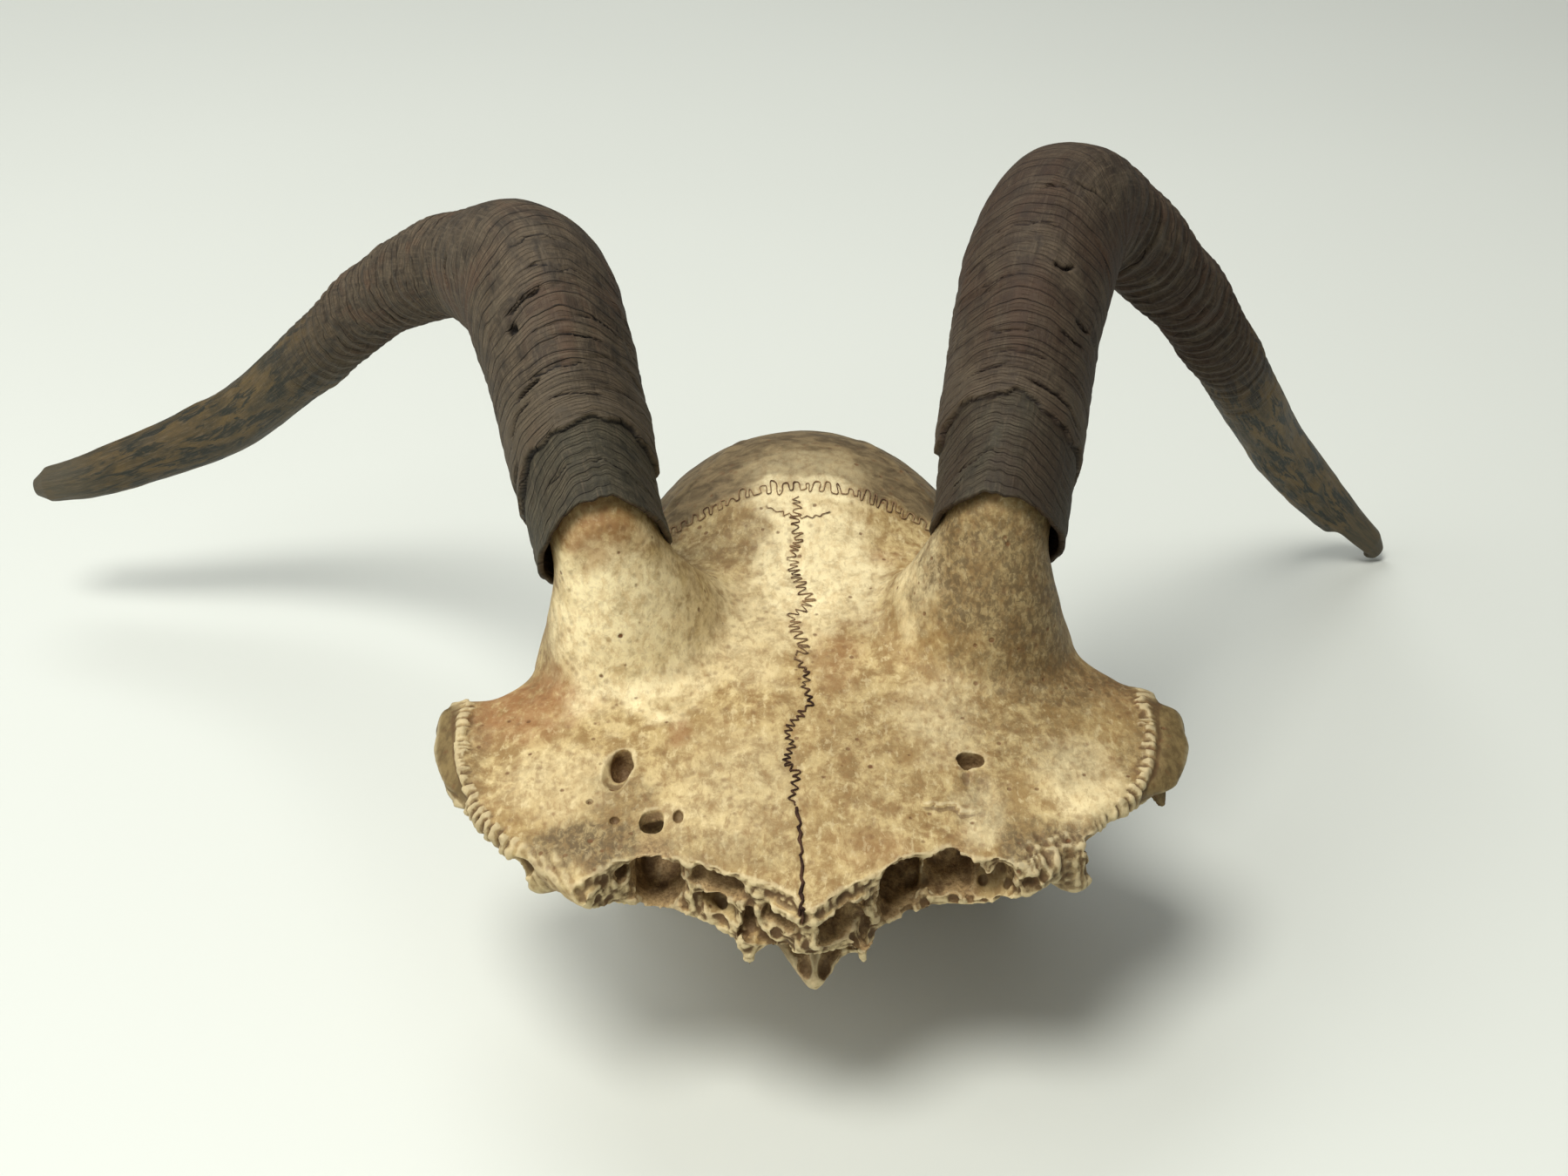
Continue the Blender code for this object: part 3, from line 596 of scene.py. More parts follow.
cast = bmesh.new()
for name in BONE_NODES:
    piece = bmesh.new()
    piece.from_mesh(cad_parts[name].data)
    bmesh.ops.remove_doubles(piece, verts=piece.verts, dist=0.00001)
    piece.transform(SKULL.inverted())
    piece.normal_update()
    for vert in piece.verts:
        vert.co += vert.normal * SUTURE_FILL
    cast.from_mesh(settled(piece, "filled"))
bone_skin = shown(settled(cast, "skull_skin"), "skull_skin")
reshaped(bone_skin, "REMESH", mode="VOXEL", voxel_size=CAST_GRID)
cast_tree = surface_tree(bone_skin.data)

# The hollows that the break has opened: middle, half sizes and how square they are.
HOLLOWS = (
    ((-21.2, 12.5, -5.9), (3.5, 8.5, 4.7), 3.4),
    ((-13.1, 9, -3.1), (4.3, 3.4, 1.8), 3),
    ((-26.2, 10.6, -3.9), (0.9, 3, 1.3), 2),
    ((12.9, 10, -5.8), (3.1, 9, 4.7), 3.6),
    ((20.6, 12, -4.8), (4, 6.5, 3.7), 3.2),
    ((27.6, 10.5, -4.4), (1.5, 4, 2.3), 2.2),
    ((4.9, 3.2, -5.8), (3.3, 4.6, 2.8), 2.8),
    ((-3.9, 4, -5.3), (2.5, 4.2, 1.6), 2.6),
    ((-8.1, 5, -7.5), (1, 4.2, 2.5), 2.2),
    ((8.1, 4.6, -9.6), (0.9, 3.6, 2.2), 2.2),
    ((-2.6, 8.4, -10.6), (1.9, 3.4, 1.8), 2.2),
    ((-1.6, 6, -13.2), (1.8, 2.1, 2.8), 2.4),
    ((-0.7, 4.4, -16), (1.1, 1.5, 2.1), 2.2),
    ((4, 8.4, -10.6), (1.9, 3.4, 1.8), 2.2),
    ((3.5, 6, -13.2), (1.6, 2.1, 2.8), 2.4),
    ((2.6, 4.4, -16), (0.9, 1.5, 2.1), 2.2),
)
# The holes in the roof: the foramina for vessels over each orbit and small broken places.
FORAMINA = (
    ((-26.8, 29.6, -1.4), (1.7, 2.5, 3.2), 2.2),
    ((-27.8, 27.2, 0.5), (1.9, 3.8, 1.9), 2),
    ((23.9, 29.9, -1.2), (2.1, 1.5, 2.6), 2.2),
    ((23, 26, 0.7), (0.8, 3, 1.2), 2),
    ((25.6, 23.2, 1.3), (2.8, 5.8, 1.9), 2),
    ((-22.1, 17.6, -0.2), (1.3, 1.9, 1.3), 4.5),
    ((-18.3, 18.3, -0.2), (0.6, 1.3, 1.2), 2.4),
    ((-27.4, 18.2, -0.4), (0.6, 0.7, 1.2), 2),
    ((-31.1, 21.9, -0.5), (0.5, 0.6, 1), 2),
    ((-18.9, 24.6, 0.1), (0.5, 0.5, 0.8), 2),
    ((35, 28.7, -1), (0.5, 0.5, 1), 2),
    ((32.6, 28.6, -0.8), (0.4, 0.4, 1), 2),
)
# The notches at both ends of the break, between the comb of each orbit and the lobe below it.
NOTCHES = (
    ((-40.8, 12, -3.7), (2.7, 1.5, 1.5), 2),
    ((-40.8, 13.6, -5), (2.7, 1.5, 1.5), 2),
    ((-40.8, 15.2, -6.4), (2.7, 1.5, 1.5), 2),
    ((-41.4, 13.6, -7.8), (1.9, 2, 2), 2),
    ((42, 15, -2.6), (2.9, 1.9, 1.9), 2),
    ((42, 16.6, -4), (2.9, 1.9, 1.9), 2),
    ((42, 18, -5.2), (2.9, 1.9, 1.9), 2),
    ((41.8, 13.8, -5.6), (2.7, 1.9, 1.9), 2),
    ((41.8, 15.4, -7), (2.7, 1.9, 1.9), 2),
)
# The solids' own foramina are closed first, because the holes above take their place.
PLUGS = ((-26.0, 30.5), (26.0, 30.5))
PLUG_REACH = 5.5
PLUG_HALVES = (2.6, 4.2, 1.9)
PLUG_SINK = 1.7
# The points that the two broken prongs end in, beside the keel.
PRONG_TIPS = (
    ((-8.1, 4.4, -10.7), (2.3, 1.5, 3.0)), ((-8.2, 4.1, -12.9), (1.3, 1.1, 2.7)),
    ((7.6, 4.4, -10.5), (1.9, 1.5, 3.0)), ((8.0, 4.1, -12.7), (1.1, 1.0, 2.6)),
)
CELL_COUNT = 340
# Where the roof over the sinuses is broken off, and how deep below it the crack runs.
ROOF_EDGE = (
    (-33, 6.2), (-29, 8.6), (-26.3, 10.4), (-23.7, 10.9), (-21.5, 10.9), (-18.4, 10.7),
    (-16.7, 9.8), (-12.8, 8.3), (-9.1, 6.8), (-5.2, 5.6), (-2.1, 3.6), (-0.9, 0.9), (0.4, 0.7),
    (2.8, 2.6), (4.8, 4.9), (8.1, 5.9), (9.9, 7.5), (12, 9.6), (14.8, 11.1), (18.1, 11.3),
    (19.8, 12.6), (22.9, 10.7), (27, 11), (31, 9),
)
ROOF_PLATE = 2.1
# How much lower the crack runs at the sides, and how far forward and up the missing roof reached.
CRACK_DROOP = 0.0009
MISSING_FRONT = -8.0
MISSING_TOP = 6.0


def blob(bm, middle, halves, squareness, seed, fineness=4):
    """A rounded, rather square lump with an uneven surface."""
    start = len(bm.verts)
    bmesh.ops.create_icosphere(bm, subdivisions=fineness, radius=1.0)
    bm.verts.ensure_lookup_table()
    lump = bm.verts[start:]
    way = np.array([vert.co for vert in lump])
    size = np.sum(np.abs(way) ** squareness, axis=1) ** (-1.0 / squareness)
    places = way * size[:, None] * halves
    rough = hashed(places + middle, 1.9, seed) * 0.16
    rough += hashed(places + middle, 0.9, seed + 1) * 0.08
    places = places * (1.0 + rough[:, None]) + np.array(middle)
    for vert, place in zip(lump, places):
        vert.co = place


def torn_edge(bm, draw):
    """What is missing before the roof's broken edge, its edge torn into small teeth."""
    knots = np.array(ROOF_EDGE)
    across = [knots[0, 0]]
    while across[-1] < knots[-1, 0] - 0.5:
        across.append(across[-1] + draw.uniform(0.35, 0.9))
    back = np.interp(across, knots[:, 0], knots[:, 1])
    back = back + draw.uniform(-0.45, 0.45, len(across))
    outline = [*zip(across, back), (across[-1], MISSING_FRONT), (across[0], MISSING_FRONT)]
    low, high = ([bm.verts.new((x, y, height - droop * x * x)) for x, y in outline]
                 for height, droop in ((-ROOF_PLATE, CRACK_DROOP), (MISSING_TOP, 0.0)))
    bm.faces.new(reversed(low))
    bm.faces.new(high)
    for i in range(len(outline)):
        bm.faces.new((low[i - 1], low[i], high[i], high[i - 1]))


plugs = bmesh.new()
plugs.from_mesh(bone_skin.data)
for x, y in PLUGS:
    around = [cast_tree.ray_cast(Vector((x + dx, y + dy, 40.0)), Vector((0.0, 0.0, -1.0)))[0].z
              for dx, dy in ((-PLUG_REACH, 0), (PLUG_REACH, 0), (0, -PLUG_REACH), (0, PLUG_REACH))]
    blob(plugs, (x, y, sum(around) / 4 - PLUG_SINK), PLUG_HALVES, 2.6, 60)
for middle, halves in PRONG_TIPS:
    blob(plugs, middle, halves, 1.4, 62)
plugs.to_mesh(bone_skin.data)
plugs.free()
reshaped(bone_skin, "REMESH", mode="VOXEL", voxel_size=CAST_GRID)

draw = np.random.default_rng(11)
opening = bmesh.new()
torn_edge(opening, draw)
for i, (middle, halves, squareness) in enumerate(HOLLOWS + FORAMINA + NOTCHES):
    blob(opening, middle, halves, squareness, 20 + 2 * i)
for i in range(CELL_COUNT):
    across, up = draw.uniform(-32.0, 34.0), draw.uniform(-14.5, -1.5)
    size = draw.uniform(0.32, 0.85)
    stretch = draw.uniform(0.9, 2.4)
    struck = cast_tree.ray_cast(Vector((across, -30.0, up)), Vector((0.0, 1.0, 0.0)))[0]
    if struck and struck.y < 14.0:
        blob(opening, tuple(struck), (size, size * 1.6, size * stretch), 2.0, 90 + 2 * i, 2)
bmesh.ops.recalc_face_normals(opening, faces=opening.faces)
opened = shown(settled(opening, "opening"), "opening")
reshaped(opened, "REMESH", mode="VOXEL", voxel_size=OPENING_GRID)
reshaped(bone_skin, "BOOLEAN", operation="DIFFERENCE", solver="MANIFOLD", object=opened)
bpy.data.objects.remove(opened)
reshaped(bone_skin, "REMESH", mode="VOXEL", voxel_size=SKIN_GRID)
reshaped(bone_skin, "SMOOTH", factor=0.5, iterations=2)

# The relief of the bone's surface: the toothed edges of the orbits, the torn fingers beside
# them, the lines of the jaw muscles, the flaking layer and the crumbled break.
bone_mesh = bone_skin.data
RIM_KNOTS = (
    ((-51.5, 46), (-51.9, 40.9), (-51.3, 32.7), (-49.5, 26.5), (-48.1, 22.8),
     (-45.6, 18.2), (-42.3, 14.6), (-38.5, 11.9)),
    ((51, 52), (51.2, 46.3), (51.6, 38.8), (50.3, 31.9), (48.6, 26.5), (46.5, 23.6),
     (43.5, 19.5), (39, 15.9)),
)
RIM_TOOTH = 1.75
# How far the thin outer plates of the orbits stand out below the toothed rim.
PLATE_REACH = 2.2
# How far their lower ends lean in again.
PLATE_LEAN = 3.8
MUSCLE_LINES = (
    ((-26, 93, -9), (-22, 98.3, -5.2), (-18.2, 100.9, -2.5), (-13.8, 105.2, -1.3),
     (-11, 112, -2.5)),
    ((26, 93, -9), (20.5, 99, -4), (17.5, 102, -2.4), (13.2, 107.5, -1.6),
     (11, 114, -3)),
)
FINGERS = ((35.5, 12.5, -4), (8.5, 5, 4.5))
LEFT_LOBE = ((-36.5, 10.5, -4), (5.5, 4.5, 4.5))
FLAKE = ((20, 18.6, 0), (4.2, 3.4, 3))


def numbers_of(mesh, kind, field):
    found = np.empty(len(mesh.vertices) * 3)
    getattr(mesh, kind).foreach_get(field, found)
    return found.reshape(-1, 3)


def moved_to(places):
    """Moves the bone's surface to new places, and gives the way that each then faces."""
    bone_mesh.vertices.foreach_set("co", places.ravel())
    bone_mesh.update()
    return numbers_of(bone_mesh, "vertex_normals", "vector")


def beside_line(places, knots):
    """How far each place lies from an open line of knots, and how far along it."""
    nearest = np.full(len(places), 1e9)
    reached = np.zeros(len(places))
    start = 0.0
    knots = np.asarray(knots, float)
    for low, high in zip(knots, knots[1:]):
        span = high - low
        length = np.linalg.norm(span)
        share = np.clip((places - low) @ span / length ** 2, 0.0, 1.0)
        apart = np.linalg.norm(places - low - share[:, None] * span, axis=1)
        closer = apart < nearest
        nearest[closer] = apart[closer]
        reached[closer] = (start + share * length)[closer]
        start += length
    return nearest, reached


def patch(middle, halves, softness, ragged=0.0, seed=0):
    """1 inside an oval patch, 0 outside it, with a soft and ragged edge."""
    size = np.sqrt(np.sum(((places - middle) / halves) ** 2, axis=1))
    if ragged:
        size += (hashed(places, 3.2, seed) + hashed(places, 1.1, seed + 1) * 0.5) * ragged
    return 1.0 - step_up(size, 1.0 - softness, 1.0 + softness)


def in_a_row(values):
    """Places in one straight row, at the given values."""
    return np.outer(values, (1.0, 0.0, 0.0))


def ridges(along, pitch, seed, unevenness):
    """Rounded ridges with sharp valleys between them, uneven in their spacing."""
    uneven = along / pitch + unevenness * hashed(in_a_row(along), 2.5, seed)
    return np.abs(np.sin(np.pi * uneven)) ** 0.6 * 2.0 - 1.0


def averaged(values, rounds):
    """Values shared out among neighbours a number of times."""
    for _ in range(rounds):
        shared = [np.bincount(links[:, 0], column[links[:, 1]], len(column))
                  + np.bincount(links[:, 1], column[links[:, 0]], len(column))
                  for column in values.T]
        values = (np.stack(shared, axis=-1) / shares[:, None] + values) / 2.0
    return values


links = np.empty(len(bone_mesh.edges) * 2, int)
bone_mesh.edges.foreach_get("vertices", links)
links = links.reshape(-1, 2)
shares = np.bincount(links.ravel(), minlength=len(bone_mesh.vertices))
places = numbers_of(bone_mesh, "vertices", "co")
across, back, up = places.T
sound = step_up(back, 36.0, 44.0) * step_up(up, -9.0, -3.0)
places += (averaged(places, 60) - places) * sound[:, None]
facing = numbers_of(bone_mesh, "vertex_normals", "vector")
break_back = np.interp(across, *np.array(ROOF_EDGE).T)
broken = (1.0 - step_up(back - break_back, 0.6, 3.2)) * (
    1.0 - step_up(np.abs(across), 29.0, 34.0))
relief = (hashed(places, 11.0, 1) * 0.22 + hashed(places, 4.5, 2) * 0.10
          + hashed(places, 1.8, 3) * 0.04)
rim = np.zeros(len(places))
for knots in RIM_KNOTS:
    apart, along = beside_line(places[:, :2], knots)
    tooth = np.round(along / RIM_TOOTH + 0.5)
    length = 1.35 + hashed(in_a_row(tooth), 0.7, 6) * 0.7
    near = (1.0 - step_up(apart, length * 0.55, length)) * step_up(up, -6.5, -4.0)
    near = near * (1.0 - step_up(along, along.max() - 6.0, along.max() - 2.0))
    rim = np.maximum(rim, near)
    relief += near * (ridges(along, RIM_TOOTH, 7, 0.6) * 0.45 + hashed(places, 0.9, 5) * 0.5)
muscle = np.zeros(len(places))
for knots in MUSCLE_LINES:
    apart, along = beside_line(places, knots)
    muscle = np.maximum(muscle, 1.0 - step_up(apart, 0.3, 1.8))
relief += muscle * 0.3
fingers = patch(*FINGERS, 0.3)
lobe = patch(*LEFT_LOBE, 0.3)
slant = across * 0.93 + back * 0.36
broken_up = np.clip(0.6 + hashed(places, 3.0, 17) * 0.8, 0.0, 1.0)
relief += fingers * (ridges(slant, 1.6, 9, 0.8) * 0.34 * broken_up
                     + hashed(places, 1.3, 8) * 0.35 + hashed(places, 0.8, 18) * 0.25)
relief += lobe * (ridges(slant + up * 0.5, 1.7, 12, 0.6) * 0.10
                  + hashed(places, 1.3, 13) * 0.2)
flake_edge = (20.6 + hashed(places * (1.0, 0.0, 0.0), 1.0, 14) * 0.9
              - 0.12 * np.abs(across - 19.4))
fallen = np.maximum(flake_edge - back, 0.0)
relief -= patch(*FLAKE, 0.5) * step_up(fallen, 0.0, 0.2) * np.exp(-fallen / 3.2) * 0.65
rim_across = np.where(across < 0, *(
    np.interp(back, *np.array(knots[::-1]).T[::-1]) for knots in RIM_KNOTS))
beyond = step_up(np.abs(across) - np.abs(rim_across), 0.5, 1.2) * step_up(
    back, 22.0, 27.0) * (1.0 - step_up(back, 48.0, 53.0))
relief = relief * (1.0 - beyond * 0.8) - beyond * 0.8
raw = broken * (1.0 - step_up(facing[:, 2], 0.55, 0.9) * 0.85)
relief += raw * (hashed(places, 1.6, 15) * 0.25 + np.abs(hashed(places, 0.9, 16)) * 0.4 - 0.15)
relief -= SUTURE_FILL * 0.7
places += facing * relief[:, None]
outer_plate = (step_up(np.abs(across), 48.5, 51.0) * step_up(-up, 3.0, 5.5)
               * step_up(back, 18.0, 25.0) * (1.0 - step_up(back, 50.0, 56.0)))
reach = PLATE_REACH - PLATE_LEAN * step_up(-up, 8.0, 16.0)
across += np.sign(across) * outer_plate * reach
facing = moved_to(places)

# The sutures. Where two bones met as they grew, their edges lock in loops and teeth, and soil
# has stayed in the seam as a dark line. The frontal bones' own seam gapes at the broken front.
SEAM_CASTS = 6.0
SEAM_SIDES = 6
MIDLINE = ((-0.9, 0), (-0.8, 9), (-0.9, 13), (-1.4, 19.3), (-2.2, 20.9), (-1.2, 26.4),
           (-3.1, 28.5), (-1.9, 32.4), (-3, 34.9), (-1.2, 38.5), (0.7, 41.5), (-0.4, 45.1),
           (0.3, 48), (-1.7, 52.2), (-0.1, 54.4), (-1.3, 57.8), (-2.1, 61.3), (0.7, 65.4),
           (-1.3, 71.3), (-2.1, 75.8), (-0.9, 79.3), (-1.7, 84.5), (-0.8, 89))


def on_surface(tree, outer, aim):
    """Where lines from outside towards their aims strike the bone."""
    struck = []
    for start, goal in zip(outer, aim):
        way = Vector(goal) - Vector(start)
        place = tree.ray_cast(Vector(start), way.normalized(), way.length)[0]
        if place is not None:
            struck.append((place, -way.normalized()))
    return np.array(struck).transpose(1, 0, 2)


def beside_road(road, away):
    """The way to the side at each point of a road over the bone."""
    side = np.cross(np.gradient(road, axis=0), away)
    return side / (np.linalg.norm(side, axis=1)[:, None] + 1e-9)


def locked_teeth(length, pitch, reach, bulge, draw):
    """A seam's way on a flat strip: how far along it is and how far to the side."""
    knots = [(0.0, 0.0)]
    along, side = 0.0, 1.0
    while along < length - pitch:
        step = pitch * draw.uniform(0.55, 1.5)
        high = side * reach * draw.uniform(0.3, 1.4)
        wide = 0.08 + 0.5 * bulge * draw.uniform(0.5, 1.2)
        knots.append((along + step * (0.5 - wide * 0.6), high * draw.uniform(0.6, 0.85)))
        knots.append((along + step * draw.uniform(0.38, 0.62), high))
        knots.append((along + step * (0.5 + wide * 0.6), high * draw.uniform(0.55, 0.8)))
        along += step * 0.5
        side = -side
    knots.append((length, 0.0))
    return horn_line(knots, 4)[0]


def seam_rows(tree, outer, aim, pitch, reach, bulge, radius, draw):
    """Rings of a thin cord that follows a seam over the bone."""
    road, away = on_surface(tree, outer, aim)
    length = np.concatenate([[0.0], np.cumsum(np.linalg.norm(np.diff(road, axis=0), axis=1))])
    strip = locked_teeth(length[-1], pitch, reach, bulge, draw)

    def at(values):
        return np.stack([np.interp(strip[:, 0], length, values[:, k]) for k in range(3)], axis=-1)

    outward = at(away)
    start = at(road) + at(beside_road(road, away)) * strip[:, 1:] + outward * SEAM_CASTS
    line, away = on_surface(tree, start, start - outward * SEAM_CASTS * 2)
    side = beside_road(line, away)
    angle = np.arange(SEAM_SIDES) * math.tau / SEAM_SIDES
    thick = radius * (1.0 + hashed(line, 2.3, 30) * 0.35 + hashed(line, 0.9, 31) * 0.3)
    ring = side[:, None] * np.cos(angle)[:, None] + away[:, None] * np.sin(angle)[:, None]
    return line[:, None] + ring * thick[:, None, None]


def seam_roads():
    """The seams: lines from outside, their aims, and tooth pitch, reach, bulge and thickness."""
    back = np.arange(88.5, 0.6, -0.5)
    across = np.interp(back, [knot[1] for knot in MIDLINE], [knot[0] for knot in MIDLINE])
    above = np.stack([across, back, back * 0 + 30.0], axis=-1)
    below = above - (0.0, 0.0, 60.0)
    upper = back > 52.0
    slit = back < 20.0
    lower = ~upper & ~slit
    yield above[upper], below[upper], 1.25, 0.85, 0.35, 0.085
    yield above[lower], below[lower], 1.4, 0.55, 0.2, 0.115
    yield above[slit], below[slit], 2.6, 0.2, 0.1, 0.22
    angle = np.radians(np.arange(-112.0, 112.0, 1.0))
    for centre, lean, pitch, reach, bulge, radius in (
            ((0.0, 80.6, -25.4), (0.34, 0.94), 1.7, 1.25, 0.68, 0.095),
            ((0.0, 111.3, -33.8), (0.44, 0.90), 1.5, 0.7, 0.5, 0.08)):
        rays = np.stack([np.sin(angle), np.cos(angle) * lean[0], np.cos(angle) * lean[1]], axis=-1)
        yield centre + rays * 42.0, np.array(centre) + rays * 8.0, pitch, reach, bulge, radius
    for side in (-1.0, 1.0):
        back = np.arange(82.0, 117.0, 0.5)
        wave = np.sin(back * 0.25) * 1.5 - 27.0
        beside = np.stack([back * 0 + side * 60.0, back, wave], axis=-1)
        yield beside, beside * (0.0, 1.0, 1.0), 2.1, 0.6, 0.5, 0.1
    across = np.linspace(-6.2, 4.2, 24)
    small = np.stack([across, 84.1 + across ** 2 * 0.075, across * 0 + 30.0], axis=-1)
    yield small, small - (0.0, 0.0, 60.0), 1.5, 0.3, 0.2, 0.07


tree = surface_tree(bone_mesh)
draw = np.random.default_rng(23)
seams = [seam_rows(tree, *road, draw) for road in seam_roads()]
middles = np.concatenate(seams).mean(axis=1)
seam_points = KDTree(len(middles))
for i, middle in enumerate(middles):
    seam_points.insert(middle, i)
seam_points.balance()
near_seam = np.full(len(places), 9.0)
close = np.flatnonzero((np.abs(across) < 5.0) | (back > 78.0))
for i in close:
    near_seam[i] = seam_points.find(places[i])[2]

# How worn, stained and dirty each place is, and where light and shade are painted on it, from its
# shape and its part of the skull: ridges get worn pale edges with a painted highlight, and creases
# get soil with painted shade. The bone sinks a little along the sutures, and the masks that its
# material reads are kept on the mesh.
places -= facing * ((1.0 - step_up(near_seam, 0.1, 0.7)) * 0.2)[:, None]
facing = moved_to(places)
eased = averaged(places, 4)
crest = np.sum((places - eased) * facing, axis=1)
broad_crest = np.sum((places - averaged(eased, 24)) * facing, axis=1)
crest = averaged(crest[:, None], 1)[:, 0]
hollow = np.zeros(len(places))


def within(middle, halves, squareness, edge):
    """1 inside a rounded square lump and 0 past its edge."""
    size = np.sum(np.abs((places - middle) / halves) ** squareness, axis=1) ** (1.0 / squareness)
    return 1.0 - step_up(size, 1.1, edge)


for lump in HOLLOWS:
    hollow = np.maximum(hollow, within(*lump, 1.3))
for lump in FORAMINA[:1] + FORAMINA[2:3] + FORAMINA[5:8]:
    hollow = np.maximum(hollow, within(*lump, 1.35) * (1.0 - step_up(up, -1.4, -0.3)))
RUST = (
    ((-43.5, 43.5, -3), (8.5, 7.5, 9), 0.85), ((-35, 51.5, 26), (14, 5.5, 6.5), 0.55),
    ((30, 68, 14), (8, 6, 4.5), 0.6), ((14, 78, 4), (4.5, 3.5, 5), 0.7),
    ((-18.7, 35.5, 0), (1.8, 3, 3), 0.7), ((9.5, 12, 0), (5, 4, 3), 0.3),
    ((5, 52, 1), (4, 7, 3), 0.4), ((47, 50, -3), (7, 6, 5), 0.4),
)
# Grey-brown patches: middle, half sizes and strength. Most are soil stains. The one over the left
# of the dome is painted shade, and the two on the right pedicle are stain and painted shade
# together.
GREY = (
    ((30, 60, 12), (14, 18, 15), 0.93), ((40, 50, 2), (16, 9, 10), 0.8),
    ((-24, 98, -6), (9, 12, 9), 1), ((3, 23, 0), (17, 13, 4), 0.2),
    ((28, 66, 15), (13, 9, 8), 0.9), ((34, 38, 2), (17, 12, 6), 0.5),
    ((-29.5, 14, -1.5), (9.5, 4.6, 5), 0.95), ((36, 13, -3), (11, 6, 6), 1),
    ((-26.5, 23, 0), (5, 6, 3), 0.5), ((26, 22, 0), (6, 8, 3), 0.5),
    ((-41, 56, 2), (4, 10, 10), 0.35), ((-13, 82, 1), (7, 7, 7), 0.45),
    ((50, 30, -3), (5, 16, 4), 0.55), ((12, 66, 2), (5, 9, 6), 0.3),
    ((-50, 30, -3), (3, 14, 4), 0.4), ((14, 34, 1), (16, 16, 5), 0.3),
    ((10, 60, 3), (6, 8, 5), 0.3), ((-12, 12, 0), (12, 4, 3), 0.35),
)
# Pale patches: middle, half sizes and strength. Most are the bone's own pale colour. The one on the
# left pedicle is that colour and painted light together.
PALE = (
    ((2, 74, 2), (11, 14, 8), 0.8), ((-36, 26, 0), (8, 7, 4), 0.3),
    ((18, 64, 8), (5, 10, 9), 0.6), ((-27, 47, 10), (14, 12, 13), 1),
    ((0.5, 96, 3), (11, 8, 8), 0.5), ((-12, 24, 0), (10, 12, 4), 0.2),
    ((25, 19, 0), (3, 6, 3), 0.5), ((-9, 60, 2), (8, 14, 6), 0.4),
    ((40, 26, -1), (6, 9, 4), 0.5), ((20, 38, 1), (6, 8, 4), 0.35),
)


def blotches(patches, seed):
    covered = np.zeros(len(places))
    for i, (middle, halves, strength) in enumerate(patches):
        tone_patch = patch(middle, halves, 0.45, 0.3, seed + 2 * i)
        covered = np.maximum(covered, tone_patch * strength)
    return covered


rust, grey, pale = blotches(RUST, 40), blotches(GREY, 60), blotches(PALE, 90)
grey = np.maximum(grey, rim * 0.6)
dome = step_up(back + hashed(places, 3.0, 35) * 1.5, 87.5, 93.0) * (1.0 - step_up(-up, 60.0, 70.0))
below = step_up(-up, 5.0, 11.0) * (1.0 - broken)
plates = np.maximum(beyond, step_up(np.abs(across), 49.0, 51.5) * step_up(-up, 3.5, 6.0))
seam_pale = ((1.0 - step_up(near_seam, 1.0, 3.4)) * step_up(back, 50.0, 66.0)
             * (1.0 - step_up(np.abs(across), 6.0, 13.0)))
pale = np.maximum(pale, seam_pale * 0.9)
skinned = 1.0 - step_up(facing[:, 2], 0.45, 0.85)
raw = np.clip(broken * skinned + fingers * 0.6 + lobe * 0.5 + rim * 0.45, 0.0, 1.0)

painted(bone_mesh, "stains_light_and_shade", rust, grey, pale, hollow)
painted(bone_mesh, "zones", dome, np.maximum(below, plates), raw,
        np.clip(0.5 + crest * 4.0 + broad_crest * 0.55, 0.0, 1.0))
painted(bone_mesh, "place", across, back, up, plates)

bone_mesh.transform(SKULL)
bone_mesh.shade_smooth()
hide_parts(*BONE_NODES)
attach(bone_skin, "root")

seam_bm = bmesh.new()
for rows in seams:
    seam_bm.from_mesh(skin_of(rows, SEAM_SIDES, "seam"))
seam_mesh = settled(seam_bm, "suture_lines")
seam_mesh.transform(SKULL)
seam_mesh.shade_smooth()
suture_lines = shown(seam_mesh, "suture_lines")
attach(suture_lines, "root")
seam, wire = finish("seam_soil", 0.8, 0.2)
spread = wire.node("ShaderNodeTexCoord", {}, {}, "Object")
_, along_seam, _ = spread.parts()
soil = spread.grain(0.003).rise(0.35, 0.65)
fresh = soil.mix((46, 28, 20), (80, 54, 38))
faded = soil.mix((92, 66, 48), (156, 126, 92))
along_seam.rise(-0.056, -0.03).mix(fresh, faded).feeds("Base Color")
seam_mesh.materials.append(seam)

# Weathered bone: cream where it is sound, tan and grey-brown where soil stained it, with pores,
# short fibres and dark hollows. Painted shade darkens the left of the dome, the grey-brown of the
# dome and the lower sides, and, with stains, the right pedicle. Painted light, with the bone's own
# pale colour, brightens the left pedicle. Ridges get a painted highlight beside worn pale edges,
# and creases get painted shade beside soil.
bone, wire = finish("weathered_bone", 0.62, 0.3)
place = wire.kept("place")
stains_light_and_shade = wire.kept("stains_light_and_shade")
zones = wire.kept("zones")
rust, grey, pale = stains_light_and_shade.parts()
dome, below, raw = zones.parts()
hollow = stains_light_and_shade.sister("Alpha")
crest = zones.sister("Alpha")
plates = place.sister("Alpha")

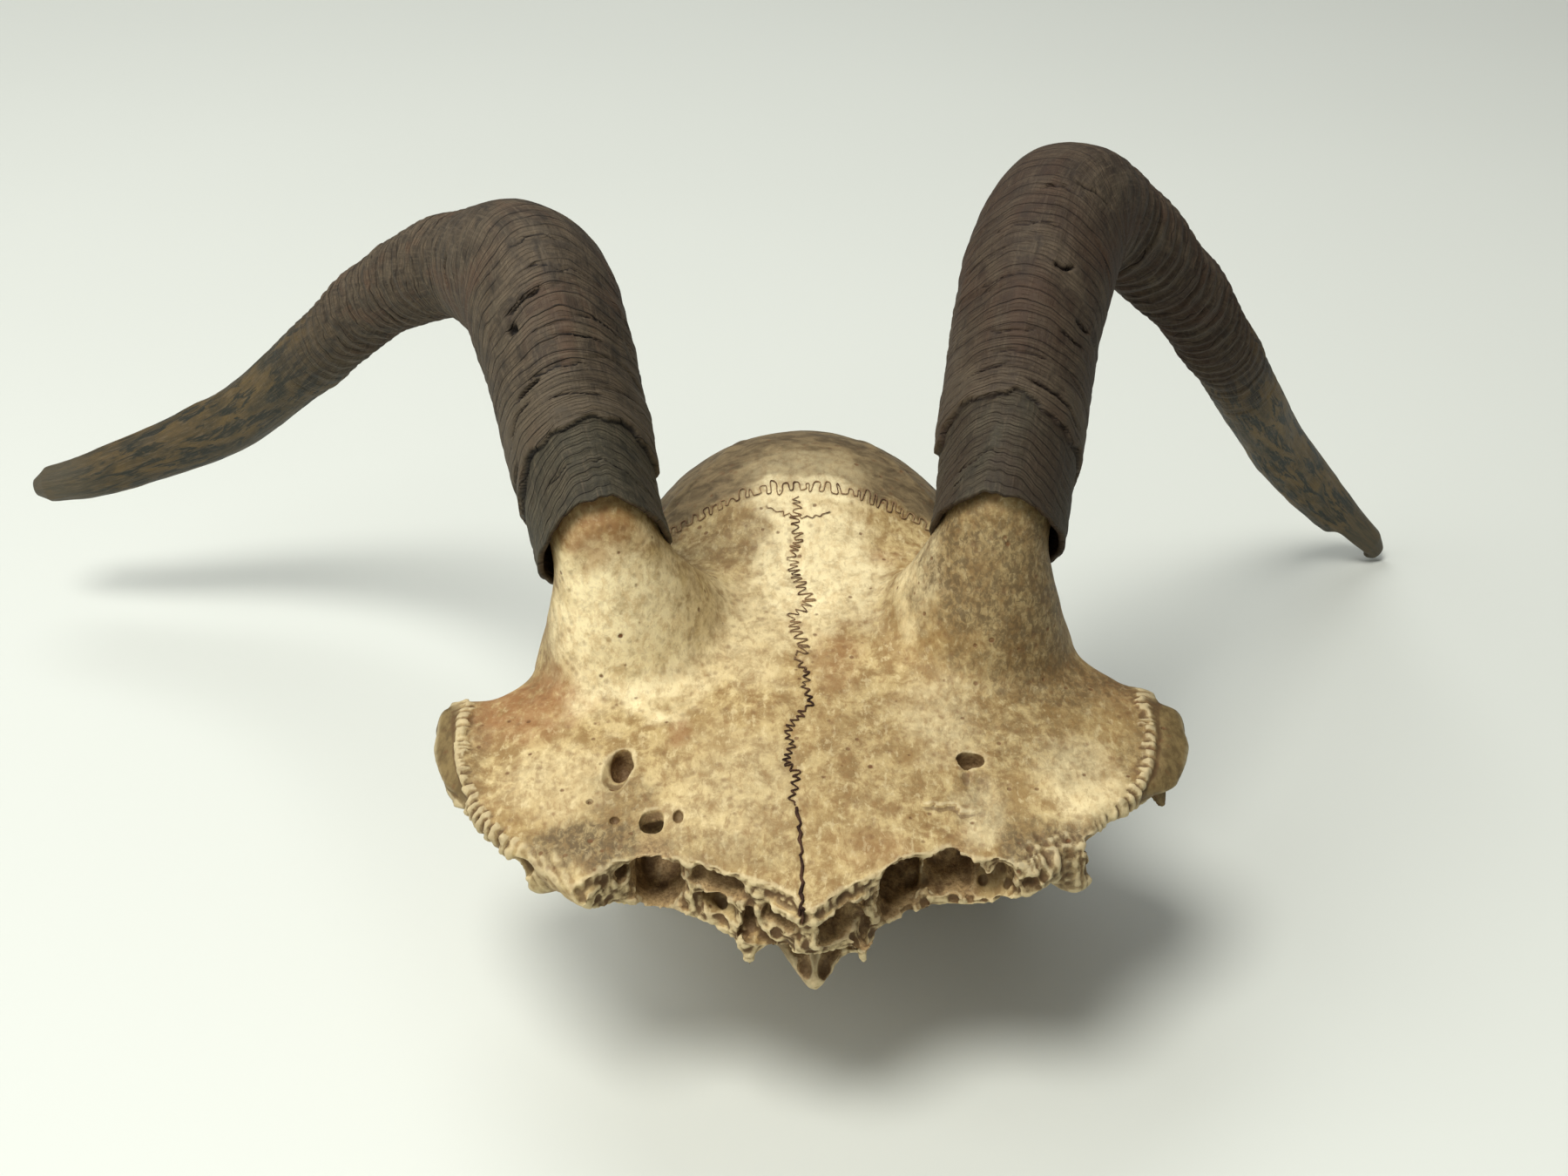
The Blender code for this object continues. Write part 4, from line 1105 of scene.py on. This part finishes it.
cloud = place.grain(13.0, 3.0, 0.55)
mottle = place.grain(3.6, 6.0, 0.7, 0.35)
fibre = place.stretched(1.0, 0.5, 0.8).grain(0.95, 4.0, 0.64, 0.3)
fleck = place.stretched(1.0, 0.62, 0.7).grain(1.5, 5.0, 0.72, 0.3)
blot = place.grain(6.5, 6.0, 0.7, 0.5)
speck = place.grain(0.5, 3.0, 0.65)
shade = mottle.rise(0.38, 0.62).mix((150, 121, 75), (204, 180, 127))
shade = (cloud.rise(0.42, 0.66) * 0.55).mix(shade, (172, 143, 91))
shade = (blot.rise(0.53, 0.68) * 0.6).mix(shade, (144, 117, 75))
# Pale patches, with painted light on the left pedicle.
shade = (pale * (0.35 + mottle.rise(0.25, 0.55) * 0.65)).mix(shade, (252, 236, 188))
shade = (fibre.rise(0.50, 0.66) * (0.52 - pale * 0.27)).mix(shade, (144, 108, 63))
shade = ((1.0 - fibre.rise(0.34, 0.46)) * 0.4).mix(shade, (236, 217, 168))
shade = (pale * fleck.rise(0.46, 0.62) * 0.4).mix(shade, (196, 160, 104))
shade = (rust * fleck.rise(0.25, 0.55) * 0.85).mix(shade, (148, 100, 60))
worm = place.stretched(1.0, 0.7, 0.7).grain(0.85, 4.0, 0.7, 0.6)
# The grey patches: soil stains, and painted shade over the left of the dome and on the right
# pedicle.
grey_stain_and_shade = grey * (0.5 + worm.rise(0.40, 0.60) * 0.45)
shade = grey_stain_and_shade.mix(shade, (94, 77, 51))
# The grey-brown of old bone on the dome and the lower sides, darkened further as painted shade.
streaks = place.stretched(0.6, 1.0, 1.0).grain(3.0, 5.0, 0.68, 0.5)
aged_and_shaded = streaks.rise(0.35, 0.65).mix((88, 73, 50), (136, 117, 84))
shade = (dome * (1.0 - pale * 0.85)).mix(shade, aged_and_shaded)
shade = (below * 0.75).mix(shade, aged_and_shaded)
shade = plates.mix(shade, fleck.rise(0.35, 0.65).mix((98, 80, 48), (130, 110, 70)))
crumbs = (crest * 0.75 + speck * 0.5).rise(0.42, 0.82)
crumbs = crumbs.mix((88, 66, 42), (196, 175, 130))
shade = (raw * (0.85 - grey * 0.4)).mix(shade, crumbs)
inner = (mottle * 0.5 + speck * 0.5).rise(0.35, 0.65)
inner = inner.mix((112, 86, 56), (190, 160, 112))
shade = (hollow * 0.9).mix(shade, inner)
# Paler on ridges: worn pale edges and a painted highlight.
shade = (crest.rise(0.60, 0.85) * 0.35).mix(shade, (236, 220, 176))
# Darker in concave creases: soil and painted shade.
shade = ((1.0 - crest.rise(0.18, 0.44)) * 0.6).mix(shade, (92, 66, 40))
pore_size = mottle * 0.34 - 0.09
pore = 1.0 - (place.cells(3.4) - pore_size).rise(-0.03, 0.05)
pit = (1.0 - (place + (31.0, 7.0, 3.0)).cells(1.7).rise(0.08, 0.42)) * blot.rise(0.42, 0.58)
dark = pore * 0.8 + pit * 0.4
shade = (dark * (1.0 - hollow)).mix(shade, (112, 76, 44))
shade.feeds("Base Color")
(0.54 + mottle * 0.2 + raw * 0.12).feeds("Roughness")
height = mottle * 0.5 + fibre * 0.5 + fleck * 0.4 + speck * (raw + hollow) * 1.2 - dark * 0.9
height.bump(BONE_BUMP).feeds("Normal")
bone_mesh.materials.clear()
bone_mesh.materials.append(bone)
